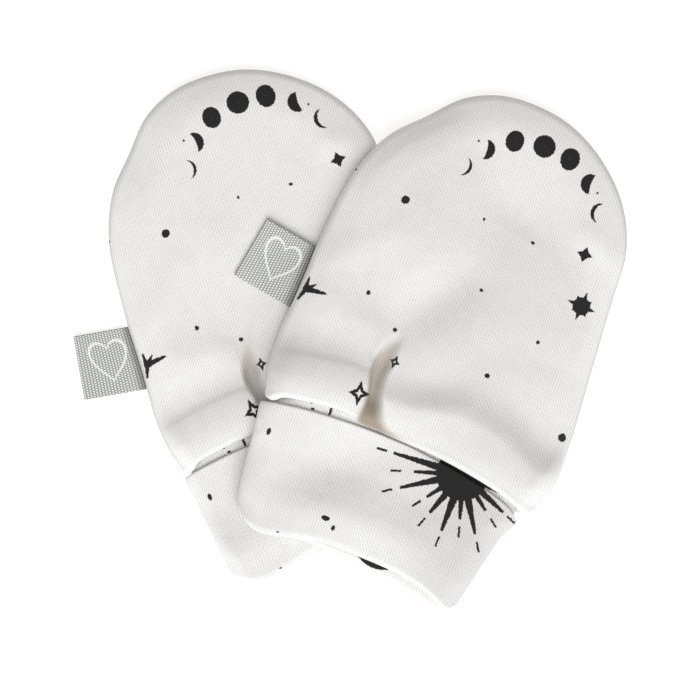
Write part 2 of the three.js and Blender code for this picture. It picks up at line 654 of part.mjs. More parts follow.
// The label: a strip of tape that comes out of the seam, lies down, and folds back into the seam.
function label(name, lift, material) {
  const outward = new THREE.Vector2(-Math.cos(labelTilt), Math.sin(labelTilt));
  const sideways = new THREE.Vector2(Math.sin(labelTilt), Math.cos(labelTilt));
  const steps = 6;
  const reaches = [0, 0.1, 0.25, 0.45, 0.7, 0.93];
  const foldAngles = [-90, -45, 0, 45, 90].map(THREE.MathUtils.degToRad);
  const path = [
    ...reaches.map((share) => ({ share, lift: -tapeFold, out: 0 })),
    ...foldAngles.map((a) => ({ share: 1, lift: tapeFold * Math.sin(a), out: tapeFold * Math.cos(a) })),
    ...[...reaches].reverse().map((share) => ({ share, lift: tapeFold, out: 0 })),
  ];
  const grid = path.map((station) =>
    Array.from({ length: steps + 1 }, (_, i) => {
      const side = (0.5 - i / steps) * labelWidth;
      const sewn = new THREE.Vector2(labelAt.across, labelAt.along).addScaledVector(sideways, side);
      const toSeam = insideSeam(sewn.x, sewn.y) + seamGap;
      const from = toSeam / Math.cos(labelTilt);
      const reach = lerp(from, labelReach - tapeFold, station.share) + station.out;
      const at = sewn.addScaledVector(outward, reach);
      const middle = lerp(seamHeight, tapeFold, eased(reach / droopReach));
      return new THREE.Vector3(at.x, at.y, middle + station.lift + lift(at.x, at.y));
    }),
  );
  const across = steps + 1;
  const behind = (i) => gridNormal(grid, Math.floor(i / across), i % across).multiplyScalar(-tapeWall);
  return sheetMesh(name, grid.flat(), gridFaces(grid.length, across), behind, material);
}

// One mitten's four pieces, in the mitten's frame, in a group that places it.
function mitten(side, place, cloth, tape) {
  const lift = liftFor(place);
  const group = new THREE.Group();
  group.position.set(place.x, place.y, 0);
  group.rotation.z = place.turn;
  group.add(
    frontPanel(`${side}_front_panel`, lift, cloth),
    backPanel(`${side}_back_panel`, lift, cloth),
    cuff(`${side}_cuff`, lift, cloth),
    label(`${side}_label`, lift, tape),
  );
  return group;
}

const cloth = new THREE.MeshStandardMaterial({ color: 0xefece6, roughness: 0.92, metalness: 0 });
const tape = new THREE.MeshStandardMaterial({ color: 0xa9afa8, roughness: 0.85, metalness: 0 });
const pair = new THREE.Group();
pair.add(mitten("left", leftPlace, cloth, tape), mitten("right", rightPlace, cloth, tape));

export default pair;
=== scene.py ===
# The looks of a pair of baby mittens laid flat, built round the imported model.
# Blender works in metres. The tables below are in millimetres, in one mitten's own frame:
# u runs across to the right and v along to the fingertips.
import math
from functools import partial
import bpy
import bmesh
import numpy as np
from mathutils import Matrix, Vector


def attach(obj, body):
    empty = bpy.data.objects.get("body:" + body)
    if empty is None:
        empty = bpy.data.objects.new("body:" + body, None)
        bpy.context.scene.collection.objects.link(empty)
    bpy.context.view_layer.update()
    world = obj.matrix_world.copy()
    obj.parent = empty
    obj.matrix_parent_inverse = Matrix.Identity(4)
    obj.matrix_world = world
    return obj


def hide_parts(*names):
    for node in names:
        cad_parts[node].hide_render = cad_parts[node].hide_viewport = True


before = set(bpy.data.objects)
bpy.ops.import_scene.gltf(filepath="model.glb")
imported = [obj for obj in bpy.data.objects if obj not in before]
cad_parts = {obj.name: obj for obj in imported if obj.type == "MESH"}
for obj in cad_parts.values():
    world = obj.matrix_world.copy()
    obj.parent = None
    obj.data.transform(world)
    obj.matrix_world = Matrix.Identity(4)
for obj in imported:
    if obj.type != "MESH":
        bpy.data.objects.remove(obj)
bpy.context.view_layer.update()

# camera
cameraLook = {
    "aim": (0.26, -2.79),  # the middle of the picture
    "across": 182,  # how much of the floor the picture takes in
    "level": 5,  # the height at which that holds
    "lens": 200,
    "sensor": 36,
    "clip": (0.01, 20),
}
lensDistance = cameraLook["across"] * cameraLook["lens"] / cameraLook["sensor"]
cameraData = bpy.data.cameras.new("camera")
cameraData.type = "PERSP"
cameraData.sensor_width = cameraLook["sensor"]
cameraData.lens = cameraLook["lens"]
cameraData.clip_start, cameraData.clip_end = cameraLook["clip"]
camera = bpy.data.objects.new("camera", cameraData)
camera.location = Vector((*cameraLook["aim"], cameraLook["level"] + lensDistance)) / 1000
bpy.context.scene.collection.objects.link(camera)
bpy.context.scene.camera = camera
print("camera placed")


# small helpers for shape
def lerp(a, b, t):
    return a + (b - a) * t


def eased(t):
    t = np.clip(t, 0, 1)
    return t * t * (3 - 2 * t)


def ramp(value, start, width):
    # from 0 at the start to 1 one width further on
    return eased((value - start) / width)


def rounded(t):
    # a quarter ellipse, from 0 at an edge to 1 at its inner end
    return np.sqrt(1 - (1 - np.clip(t, 0, 1)) ** 2)


def hermite(t, a, slopeA, b, slopeB):
    return ((2 * t**3 - 3 * t**2 + 1) * a + (t**3 - 2 * t**2 + t) * slopeA
            + (3 * t**2 - 2 * t**3) * b + (t**3 - t**2) * slopeB)


def curveThrough(keys, values):
    # a smooth curve through a short table
    order = np.argsort(keys)
    x, y = np.array(keys, float)[order], np.array(values, float)[order]
    slope = np.empty_like(x)
    slope[1:-1] = (y[2:] - y[:-2]) / (x[2:] - x[:-2])
    slope[0], slope[-1] = (y[1] - y[0]) / (x[1] - x[0]), (y[-1] - y[-2]) / (x[-1] - x[-2])

    def at(where):
        w = np.clip(where, x[0], x[-1])
        i = np.clip(np.searchsorted(x, w) - 1, 0, len(x) - 2)
        span = x[i + 1] - x[i]
        t = (w - x[i]) / span
        return hermite(t, y[i], span * slope[i], y[i + 1], span * slope[i + 1])
    return at


def graded(length, spots, coarsest):
    # shares from 0 to 1, close together near each spot: (where, step there, how fast it grows)
    at = [0]
    while at[-1] < length:
        at.append(at[-1] + min([coarsest] + [s + grow * abs(at[-1] - w) for w, s, grow in spots]))
    return np.array(at) / at[-1]


def latticeAt(lattice, i, j):
    # reads a lattice between its points with a cubic spline
    i0, j0 = np.floor(i).astype(int), np.floor(j).astype(int)
    last = lattice.shape[0] - 1

    def parts(f):
        return ((1 - f) ** 3 / 6, (3 * f**3 - 6 * f**2 + 4) / 6,
                (-3 * f**3 + 3 * f**2 + 3 * f + 1) / 6, f**3 / 6)
    rows, columns = parts(i - i0), parts(j - j0)
    near = [(np.clip(i0 + k, 0, last), np.clip(j0 + k, 0, last)) for k in (-1, 0, 1, 2)]
    return sum(rows[a] * columns[b] * lattice[near[a][0], near[b][1]] for a in range(4) for b in range(4))


def softNoise(u, v, size, seed):
    # smooth random relief of about 1, with bumps of that size
    lattice = np.random.default_rng(seed).standard_normal((80, 80)) * 2.2
    return latticeAt(lattice, (u + 100) / size % 76 + 1, (v + 100) / size % 76 + 1)


def foldRise(fold, u, v):
    # full on a fold's bowed line, fading to its sides and past its ends
    (u0, v0), (u1, v1), bow, width, rise = fold
    du, dv = u1 - u0, v1 - v0
    length = math.hypot(du, dv)
    t = ((u - u0) * du + (v - v0) * dv) / length**2
    beside = ((v - v0) * du - (u - u0) * dv) / length
    inner = np.clip(t, 0, 1)
    past = (t - inner) * length
    return rise * np.exp(-((beside - 4 * bow * inner * (1 - inner)) ** 2 + past**2) / width**2)


# the hand: seam, heights and folds
hand = {
    # from the hem's left corner round the top to its right one
    "seam": [(-39.2, -25.5), (-40.8, -19), (-41.3, -10.5), (-40.3, 2), (-39.3, 20), (-36.8, 37),
             (-31.6, 48.4), (-24.4, 56.1), (-16.6, 64), (-8, 67.9), (1, 68.7), (12, 66.8),
             (23, 60.8), (31.8, 51.8), (36.8, 41), (37.8, 27), (39, 8), (40.2, -12), (39.9, -23),
             (37.4, -29.8)],
    "shoulders": (5, 14),  # rows of the seam's table
    "fanCentre": (-0.5, 31),
    "seamHeight": 2.6,  # at the hem
    "thinSeam": 1,  # and higher up
    "thinning": (5, 13),  # where above the hem it starts to sink, and how long that takes
    "seamGap": 0.02,  # half the gap between front and back at the seam
    "rise": 4.2,
    "fuller": 0.7,  # how much more the hand's middle rises where its seam is thin
    "frontEdge": 5,  # how far in from the seam the front is rounded at the hem
    "thinEdge": (1.7, 11),  # higher up it has a small round edge and then a long gentle rise
    "edgeShare": 0.6,  # how much of the small one there is
    "backEdge": 3.4,
    "cloth": 0.8,
    "backOverCuff": 0.6,  # how far above the cuff's top the back ends
    "backCorner": 6,
    # the front hem: across and along
    "hemAcross": [-39.2, -34, -27, -20, -16, -13.5, -8, -1, 6, 15, 25, 34.5, 37.4],
    "hemAlong": [-26.3, -25.1, -24.1, -23.5, -23.8, -24.9, -25.3, -25.6, -26, -27.2, -29.2, -31.9, -30.6],
    "hemCrest": 2,  # about how far above it the hem's roll is highest
    # how the front puffs out above its hem, left and right of the pleat
    "puffUp": [0, 2, 4.5, 8, 11.5, 13, 15, 17, 20, 23, 27],
    "puffLeft": [1.4, 1.95, 2.15, 1.9, 1.25, 0.6, 0.3, 0.25, 0.35, 0.4, 0.2],
    "puffRight": [1.6, 2.2, 2.8, 3.3, 3.6, 3.45, 2.7, 1.75, 0.65, 0.15, 0],
    "puffsMeet": {"share": 0.3, "atHem": 0.6, "higher": 9, "start": -9, "width": 9},
    # they are steeper by the pleat and by the right side, and the right one is lower by the pleat
    "byPleat": {"edge": -15, "start": -9, "width": 22, "steeper": 0.5, "lower": 0.55},
    "byRight": {"start": 22, "width": 12, "steeper": 0.15},
    "pressed": 0.6,  # how much lower the right puff lies under the other mitten
    "pressedPleat": 0.35,  # and how much shallower its pleat is there
    # the hem's roll
    "smallestRoll": 0.8,
    "rollFade": 0.8,
    "rollSteps": 18,
    "cornerInset": 2.9,
    "cornerBlend": 8,
    "turnUnder": 3,
    "turnAtCorner": 0.4,
    "turnSteps": 5,
    "overNeck": 0.2,
    # folds: from, to, bow to the left, width, rise
    "folds": [
        ((-42, 9), (-22, 24), -1, 4.5, 0.55),  # ridge slanting up from the left seam
        ((-30, 5), (-10, 22), 0, 9, 0.65),  # and its long lower slope
        ((-13, 34), (-5, 62), 0, 15, 1.5),  # long fullness above the pleat
        ((-11, 2), (-1, 19), 1, 6.5, -0.95),  # valley on from the pleat
        ((-38, 2), (-21, 1), 0, 5, 0.6),  # bulge beside the pleat
        ((26, 41), (40, 37), 0, 4, 0.6),  # slack near the right edge
        ((12, 3), (36, 5), 2, 5, -0.3),  # slack low on the right
    ],
    # the pleat: along, its left edge, the width of its floor and of its walls, and its floor's height
    "pleatAlong": [-25, -22, -18, -15, -11, -8, -4, 0, 4],
    "pleatEdge": [-14.4, -14.3, -14.2, -14.7, -15.9, -16.2, -15, -13.6, -12.6],
    "pleatWidth": [6.5, 3.6, 2, 1.6, 2.8, 3.8, 2.2, 1, 0.4],
    "pleatLeftWall": [1, 1, 1, 1, 1.2, 1.7, 2.6, 3.6, 4.5],
    "pleatRightWall": [6, 4.2, 3.2, 3, 2.6, 2.4, 3, 3.6, 4],
    "pleatFloor": [3.7, 3.2, 0.8, 0.5, 0.5, 0.6, 1.2, 2.6, 4.2],
    "pleatTop": (-3, 8),  # where it starts to run out, and how long that takes
    "pleatLip": 0.2,
    "wrinkles": [(13, 0.10, 3), (6, 0.035, 4)],  # size, height, seed
}
cuff = {
    "sidesAlong": [-21, -24.8, -27.7, -33, -36, -40, -47, -54, -60, -65],
    "left": [-35.6, -36.2, -39.2, -38.9, -38.5, -38.2, -37.5, -36.5, -35.2, -33],
    "right": [33.2, 33.6, 33.8, 33.9, 33.5, 31.4, 29.5, 28, 26.6, 25.4],
    "share": [0, 0.05, 0.12, 0.2, 0.3, 0.4, 0.54, 0.7, 0.82, 0.92, 0.97, 1],
    "top": [-27.9, -27.2, -26.4, -25.9, -25.6, -25.6, -26.1, -27.6, -29.3, -31.3, -33, -34.6],
    "frontFold": [-56.6, -59.2, -60.1, -59.3, -57.9, -57, -57.3, -58, -59.6, -61.9, -63.2, -61.8],
    "backFold": [-56.6, -58.6, -59.2, -58.8, -58.5, -58.6, -59.2, -60.8, -62.2, -63.5, -63.9, -61.8],
    "height": 5.7,
    "leaf": 1,  # the outer leaf's cloth
    "innerLeaf": 0.9,
    "slit": 0.5,
    "neckReach": 3.2,  # how far the inner leaf goes up into the hand
    "neckRise": 0.7,
    "neckDepth": 1.5,  # how far below the cuff's top the hem is turned under
    "edge": 3.6,
    "endBlend": 8,
    "foldFade": 4,
    # a section through the leaves
    "leafSteps": (0.045, 0.975, 44),  # first and last share of its height, and how many
    "turnSteps": 15,
    "foldReach": 1.25,
    "lipReach": 0.5,
    "insideFold": (1.9, 1.75),
    "net": (72, [(0, 0.22, 0.3), (72, 0.22, 0.3)], 0.75),
    "backMap": 90,  # how far right of the front's part of the cloth map the back's is
    # how the front swells between the fold, at 0, and the top edge, at 1
    "swellUp": [0, 0.045, 0.1, 0.17, 0.25, 0.33, 0.42, 0.52, 0.62, 0.75, 0.88, 1],
    "swell": [0.55, 0.75, 1.05, 1.35, 1.5, 1.25, 0.6, -0.05, -0.45, -0.35, -0.1, 0.15],
    "swellFar": [0.6, 1.1, 1.7, 2.1, 2.2, 2, 1.65, 1.25, 0.8, 0.4, 0.1, 0.1],  # at the right end
    "farFrom": (0.6, 0.3),
    "wrinkles": [(11, 0.10, 7), (5, 0.03, 8)],
}
rollUnderside = cuff["height"] - cuff["neckDepth"] + cuff["neckRise"] + hand["overNeck"]
# where shade is painted into the cloth's colour
shading = {
    "pleat": {"high": 0.62, "start": 12, "width": 10},  # below its middle it is 1
    "pressedPleat": {"less": 0.75, "start": 7, "width": 7},
    "hem": {"most": 0.9, "left": 3.6, "right": 1, "start": -13, "width": 10, "pressed": 0.5},
    "hemEnds": ((-15.5, 2), (-7, 10)),
    "seam": {"most": 0.45, "width": 0.6, "height": 2},  # painted shade, only by a seam that lies on the table
    "cuffEnd": {"most": 0.42, "start": 0.5, "width": 0.42},
    "cuffFold": {"most": 0.2, "width": 4},
}
# a panel's points: the whole way, where they are closer as (where, step, growth), and the widest step
nets = {
    "front": {"inward": (38, [(0, 0.16, 0.25)], 0.5), "rows": (60, [(0, 0.3, 0.05)], 0.62), "spokes": 150},
    "back": {"inward": (38, [(0, 0.2, 0.4)], 1.3), "rows": (60, [(0, 0.8, 0.1)], 1.3), "spokes": 80},
}

hemAlong = curveThrough(hand["hemAcross"], hand["hemAlong"])
puffs = [curveThrough(hand["puffUp"], hand[name]) for name in ("puffLeft", "puffRight")]
cuffLeft = curveThrough(cuff["sidesAlong"], cuff["left"])
cuffRight = curveThrough(cuff["sidesAlong"], cuff["right"])
cuffSwells = [curveThrough(cuff["swellUp"], cuff[name]) for name in ("swell", "swellFar")]
cuffEdge = {name: curveThrough(cuff["share"], cuff[name]) for name in ("top", "frontFold", "backFold")}
pleatPart = {name: curveThrough(hand["pleatAlong"], hand["pleat" + name])
             for name in ("Edge", "Width", "LeftWall", "RightWall", "Floor")}


def seamLine(perSpan):
    # a centripetal spline through the seam's table
    p = np.array(hand["seam"], float)
    p = np.vstack([2 * p[0] - p[1], p, 2 * p[-1] - p[-2]])
    t = (np.arange(perSpan) / perSpan)[:, None]
    points = []
    for i in range(1, len(p) - 2):
        a, b, c, d = p[i - 1:i + 3]
        d0, d1, d2 = (math.sqrt(np.linalg.norm(q)) for q in (b - a, c - b, d - c))
        m1 = ((b - a) / d0 - (c - a) / (d0 + d1) + (c - b) / d1) * d1
        m2 = ((c - b) / d1 - (d - b) / (d1 + d2) + (d - c) / d2) * d1
        points.append(hermite(t, b, m1, c, m2))
    return np.vstack(points + [p[-2:-1]])


spanSteps = 14
seam = seamLine(spanSteps)
firstShoulder, lastShoulder = (row * spanSteps for row in hand["shoulders"])
stretches = {"left": seam[:firstShoulder + 1], "top": seam[firstShoulder:lastShoulder + 1],
             "right": seam[lastShoulder:][::-1]}
leftEnd, rightEnd = hand["seam"][0], hand["seam"][-1]


def onSeam(stretch, shares):
    line = stretches[stretch]
    run = np.concatenate([[0], np.cumsum(np.linalg.norm(np.diff(line, axis=0), axis=1))])
    wanted = np.asarray(shares) * run[-1]
    return np.stack([np.interp(wanted, run, line[:, k]) for k in (0, 1)], axis=-1)


def insideSeam(u, v):
    # how far inside the seam a point is, below 0 outside it
    shape = np.shape(u)
    p = np.stack([np.ravel(u), np.ravel(v)], axis=1).astype(float)
    a, d = seam[:-1], np.diff(seam, axis=0)
    result = np.empty(len(p))
    for start in range(0, len(p), 8000):
        off = p[start:start + 8000, None, :] - a[None]
        t = np.clip((off * d).sum(-1) / (d * d).sum(-1), 0, 1)
        off = off - t[..., None] * d
        far = np.linalg.norm(off, axis=-1)
        near = far.argmin(1)
        pick = np.arange(len(near))
        cross = d[near, 0] * off[pick, near, 1] - d[near, 1] * off[pick, near, 0]
        result[start:start + 8000] = np.where(cross < 0, 1, -1) * far[pick, near]
    return result.reshape(shape)


def wrinkle(shape, u, v):
    return sum(height * softNoise(u, v, size, seed) for size, height, seed in shape["wrinkles"])


def thinness(u, v):
    # 0 by the hem, 1 over the rest of the hand
    return ramp(v - hemAlong(u), *hand["thinning"])


def seamLevel(u, v):
    return lerp(hand["seamHeight"], hand["thinSeam"], thinness(u, v))


def openRise(u, v, pressed=0):
    # the free height above the seam, and how deep in the pleat it is
    byPleat, byRight, meet = hand["byPleat"], hand["byRight"], hand["puffsMeet"]
    near = np.where(u > byPleat["edge"], 1 - ramp(u, byPleat["start"], byPleat["width"]), 0)
    steeper = 1 + byRight["steeper"] * ramp(u, byRight["start"], byRight["width"]) + byPleat["steeper"] * near
    aboveHem = np.maximum(v - hemAlong(u), 0) * steeper
    beside = u - pleatPart["Edge"](v)
    across = lerp(meet["atHem"], meet["higher"], ramp(v, meet["start"], meet["width"]))
    rightPuff = puffs[1](aboveHem) * (1 - hand["pressed"] * pressed) * (1 - byPleat["lower"] * near)
    lifted = hand["rise"] + lerp(puffs[0](aboveHem), rightPuff, eased(meet["share"] + beside / across))
    lifted = lifted + sum(foldRise(fold, u, v) for fold in hand["folds"]) + wrinkle(hand, u, v)
    inPleat = ramp(beside, -hand["pleatLip"], pleatPart["LeftWall"](v))
    inPleat = inPleat * (1 - ramp(beside, pleatPart["Width"](v), pleatPart["RightWall"](v)))
    inPleat = inPleat * (1 - ramp(v, *hand["pleatTop"])) * (1 - hand["pressedPleat"] * pressed)
    return lerp(lifted, np.minimum(pleatPart["Floor"](v), lifted), inPleat), inPleat


def frontHeight(u, v, pressed=0):
    inside, thin = insideSeam(u, v), thinness(u, v)
    small = rounded(inside / hand["thinEdge"][0])
    gentle = eased(0.5 + inside / hand["thinEdge"][1] / 2) * 2 - 1
    edge = lerp(rounded(inside / hand["frontEdge"]), lerp(gentle, small, hand["edgeShare"]), thin)
    free = openRise(u, v, pressed)[0] + hand["fuller"] * thin
    return seamLevel(u, v) + hand["seamGap"] + free * edge


def frontShade(u, v, lifted, pressed):
    # painted shade: darker deep in the pleat, along the hem beside it, and by a seam on the table
    pleat, less, hem, edge = (shading[name] for name in ("pleat", "pressedPleat", "hem", "seam"))
    inPleat = openRise(u, v)[1] * lerp(pleat["high"], 1, ramp(-v, pleat["start"], pleat["width"]))
    inPleat = inPleat * (1 - less["less"] * pressed * ramp(-v, less["start"], less["width"]))
    width = lerp(hem["left"], hem["right"], ramp(u, hem["start"], hem["width"]))
    byHem = hem["most"] * (1 - hem["pressed"] * pressed) * np.exp(-((v - hemAlong(u)) / width) ** 2)
    begins, ends = shading["hemEnds"]
    byHem = byHem * ramp(u, *begins) * (1 - ramp(u, *ends))
    bySeam = edge["most"] * np.exp(-((insideSeam(u, v) / edge["width"]) ** 2))
    bySeam = bySeam * (1 - eased(lifted / edge["height"]))
    return np.clip(np.maximum(inPleat, byHem) + bySeam, 0, 1)


def swellAt(share, up):
    near, far = (swell(np.clip(up, 0, 1)) for swell in cuffSwells)
    return lerp(near, far, ramp(share, *cuff["farFrom"]))


# how the right mitten drapes over the left one
drape = {
    "slope": 0.22,
    "step": 2,  # of its lattice
    "half": 84,
    "reach": 19,  # how many steps the slope goes on
    "rounding": 2,
    "gap": 0.35,
    "touch": 0.1,
    "close": 6,  # how wide the edge is that lies closer
    "beyond": (0.5, 1),  # how far the lower mitten counts past its hem and its cuff's top
}
places = {
    "left": {"x": -15.46, "y": 3.58, "turn": math.radians(20)},
    "right": {"x": 23.84, "y": -2.92, "turn": math.radians(-20)},
}


def placed(place, u, v):
    c, s = math.cos(place["turn"]), math.sin(place["turn"])
    return place["x"] + u * c - v * s, place["y"] + u * s + v * c


def inFrameOf(place, x, y):
    c, s = math.cos(place["turn"]), math.sin(place["turn"])
    dx, dy = x - place["x"], y - place["y"]
    return dx * c + dy * s, dy * c - dx * s


def topOf(u, v):
    # the lower mitten's height
    crest = np.maximum(v, hemAlong(u) + hand["hemCrest"])
    pastHem, pastCuff = drape["beyond"]
    inHand = (v > hemAlong(u) - pastHem) & (insideSeam(u, crest) > 0)
    inHand &= (u > leftEnd[0]) & (u < rightEnd[0])
    share = np.clip((u - cuffLeft(v)) / (cuffRight(v) - cuffLeft(v)), 0, 1)
    fold, top = cuffEdge["backFold"](share), cuffEdge["top"](share)
    inCuff = (v > fold) & (v < top + pastCuff) & (share > 0) & (share < 1)
    onCuff = cuff["height"] + swellAt(share, (v - fold) / (top - fold))
    return np.where(inHand, frontHeight(u, crest, 1), np.where(inCuff, onCuff, 0))


def makeDrape():
    size = int(round(2 * drape["half"] / drape["step"])) + 1
    at = np.arange(size) * drape["step"] - drape["half"]
    solid = topOf(*np.meshgrid(at, at, indexing="ij"))

    def around(lattice, reach):
        # the lattice moved by each number of steps up to reach, and how far that is
        padded = np.pad(lattice, reach, mode="edge")
        for di in range(2 * reach + 1):
            for dj in range(2 * reach + 1):
                yield padded[di:di + size, dj:dj + size], math.hypot(di - reach, dj - reach) * drape["step"]
    sloped = np.max([part - drape["slope"] * away for part, away in around(solid, drape["reach"])], axis=0)
    widened = np.max([part for part, _ in around(sloped, drape["rounding"])], axis=0)
    smooth = np.mean([part for part, _ in around(widened, drape["rounding"])], axis=0)

    def lift(u, v, close=0):
        # an edge that lies on the lower mitten, where close is 1, follows its cloth
        lu, lv = inFrameOf(places["left"], *placed(places["right"], u, v))
        half = drape["half"]
        i, j = ((np.clip(w, -half, half) + half) / drape["step"] for w in (lu, lv))
        height = latticeAt(smooth, i, j)
        height = height + drape["gap"] * eased(height)
        tight = np.maximum(topOf(lu, lv), latticeAt(sloped, i, j)) + drape["touch"] * eased(height)
        return lerp(height, np.minimum(height, tight), close)
    return lift


def nearSeam(u, v):
    return 1 - eased(insideSeam(u, v) / drape["close"])


lifts = {"left": lambda u, v, close=0: np.zeros(np.shape(u)), "right": makeDrape()}
print("drape worked out")


# turning a table of points into a mesh
weld = {"apart": 2e-6, "sliver": 1e-7}  # in metres


def gridMesh(name, points, uv, place, shade=None):
    # points[i][j] are a sheet's points in millimetres, laid on a grid that Blender makes
    across, along = points.shape[:2]
    bm = bmesh.new()
    bmesh.ops.create_grid(bm, x_segments=across - 1, y_segments=along - 1, size=1)
    uvLayer = bm.loops.layers.uv.new("clothMap")
    x, y = placed(place, points[..., 0], points[..., 1])
    world = np.stack([x, y, points[..., 2]], axis=-1) / 1000
    # each point's share of painted shade, which the cloth's material reads
    shadeLayer = bm.verts.layers.float.new("foldShade")
    cell = {}
    for vert in bm.verts:
        i = int(round((vert.co.x + 1) / 2 * (across - 1)))
        j = int(round((vert.co.y + 1) / 2 * (along - 1)))
        cell[vert.index] = (i, j)
        vert.co = world[i, j]
        if shade is not None:
            vert[shadeLayer] = shade[i, j]
    for face in bm.faces:
        for loop in face.loops:
            loop[uvLayer].uv = uv[cell[loop.vert.index]]
        face.smooth = True
    bmesh.ops.remove_doubles(bm, verts=bm.verts, dist=weld["apart"])
    bmesh.ops.dissolve_degenerate(bm, edges=bm.edges, dist=weld["sliver"])
    mesh = bpy.data.meshes.new(name)
    bm.to_mesh(mesh)
    bm.free()
    piece = bpy.data.objects.new(name, mesh)
    bpy.context.scene.collection.objects.link(piece)
    return piece


def addWall(piece, thickness):
    wall = piece.modifiers.new("wall", "SOLIDIFY")
    wall.thickness = thickness / 1000
    wall.offset = -1
    wall.use_even_offset = True
    wall.use_quality_normals = True


mapSize = 300.0  # how many millimetres the cloth map covers each way, with 0 in its middle


def clothUv(u, v):
    return np.stack([u / mapSize + 0.5, v / mapSize + 0.5], axis=-1)


# hand panels
# A panel's grid runs along the seam like a U, and in from the seam to the middle, where its sides meet.
def handNet(inward, rowShares, hemPoint, spokes):
    centre, foot = np.array(hand["fanCentre"]), hemPoint(np.array(0.5))
    lines = []
    for side, order in (("left", rowShares), ("right", rowShares[::-1])):
        ends = onSeam(side, order)
        corner = hemPoint(np.array(0.0 if side == "left" else 1))
        onHem = hemPoint(inward / 2 if side == "left" else 1 - inward / 2)
        straight = corner + (foot - corner) * inward[:, None]
        rows = []
        for t, end in zip(order, ends):
            middle = foot + (centre - foot) * t
            rows.append(end + (middle - end) * inward[:, None] + (onHem - straight) * (1 - t) ** 2)
        lines.append(np.array(rows))
    tops = onSeam("top", np.linspace(0, 1, spokes + 1)[1:-1])
    fan = np.array([end + (centre - end) * inward[:, None] for end in tops])
    return lines[0], fan, lines[1]


def frontPanel(side):
    lift, place = lifts[side], places[side]
    pressed = 1 if side == "left" else 0
    net = nets["front"]

    def hemPoint(share):
        u = lerp(leftEnd[0], rightEnd[0], share)
        # its height and its radius depend on each other, so a few rounds settle them
        radius = np.full(np.shape(u), hand["hemCrest"])
        for _ in range(4):
            crest = frontHeight(u, hemAlong(u) + radius, pressed)
            radius = np.maximum(hand["smallestRoll"], (crest - rollUnderside) / 2)
        v = hemAlong(u) + radius
        v = np.where(share <= 0, leftEnd[1], np.where(share >= 1, rightEnd[1], v))
        return np.stack([u, v], axis=-1)
    leftRows, fan, rightRows = handNet(graded(*net["inward"]), graded(*net["rows"]), hemPoint, net["spokes"])

    def hemRoll(crest, sign):
        # the turned hem: under the crest, round its roll and a little way back inside
        p = np.column_stack([crest, frontHeight(crest[:, 0], crest[:, 1], pressed)])
        fromCorner = np.minimum(p[:, 0] - leftEnd[0], rightEnd[0] - p[:, 0])
        beneath = p.copy()
        beneath[:, 0] += sign * hand["cornerInset"] * (1 - eased(fromCorner / hand["cornerBlend"]))
        beneath[:, 2] = lerp(hand["seamHeight"] + hand["seamGap"], rollUnderside,
                             rounded(fromCorner / hand["frontEdge"]))
        radius = np.linalg.norm(p - beneath, axis=1)[:, None] / 2
        rows = []
        for angle in np.linspace(0, math.pi, hand["rollSteps"], endpoint=False):
            point = beneath + (p - beneath) * (1 - math.cos(angle)) / 2
            point[:, 1] -= radius[:, 0] * math.sin(angle)
            rows.append(point)
        under = lerp(hand["turnAtCorner"], hand["turnUnder"],
                     ramp(radius[:, 0], hand["smallestRoll"], hand["rollFade"]))
        inside = []
        for k in range(hand["turnSteps"], 0, -1):
            point = rows[0].copy()
            point[:, 1] += under * k / hand["turnSteps"]
            inside.append(point)
        return np.array(inside + rows)
    flat = np.concatenate([leftRows, fan, rightRows])
    over = np.concatenate([flat, frontHeight(flat[..., 0], flat[..., 1], pressed)[..., None]], axis=-1)
    leftRoll, rightRoll = hemRoll(leftRows[0], 1), hemRoll(rightRows[-1], -1)[::-1]
    points = np.concatenate([leftRoll, over, rightRoll])
    # the cloth map follows the roll's length below the crest
    uv = points[..., :2].copy()
    for k in range(len(leftRoll) - 1, -1, -1):
        uv[k, :, 1] = uv[k + 1, :, 1] - np.linalg.norm(points[k] - points[k + 1], axis=-1)
    for k in range(len(points) - len(rightRoll), len(points)):
        uv[k, :, 1] = uv[k - 1, :, 1] - np.linalg.norm(points[k] - points[k - 1], axis=-1)
    u, v = points[..., 0], points[..., 1]
    lifted = lift(u, v, nearSeam(u, v))
    shade = frontShade(u, v, lifted, pressed)
    points[..., 2] += lifted
    cloth = clothUv(uv[..., 0], uv[..., 1])
    piece = gridMesh(side + "_front_cloth", points[::-1], cloth[::-1], place, shade[::-1])
    addWall(piece, hand["cloth"])
    return piece


def backPanel(side):
    lift, place = lifts[side], places[side]

    def hemPoint(share):
        u = lerp(leftEnd[0], rightEnd[0], share)
        fromCorner = np.minimum(u - leftEnd[0], rightEnd[0] - u)
        corner = np.where(share < 0.5, leftEnd[1], rightEnd[1])
        onCuff = np.clip((u - cuffLeft(corner)) / (cuffRight(corner) - cuffLeft(corner)), 0, 1)
        overCuff = cuffEdge["top"](onCuff) + hand["backOverCuff"]
        return np.stack([u, lerp(corner, overCuff, eased(fromCorner / hand["backCorner"]))], axis=-1)
    net = nets["back"]
    flat = np.concatenate(handNet(graded(*net["inward"]), graded(*net["rows"]), hemPoint, net["spokes"]))
    u, v = flat[..., 0], flat[..., 1]
    curl = 1 - rounded(insideSeam(u, v) / hand["backEdge"])
    z = (seamLevel(u, v) - hand["seamGap"]) * curl + lift(u, v, nearSeam(u, v))
    points = np.stack([u, v, z], axis=-1)
    piece = gridMesh(side + "_back_cloth", points, clothUv(u, v), place)
    addWall(piece, hand["cloth"])
    return piece


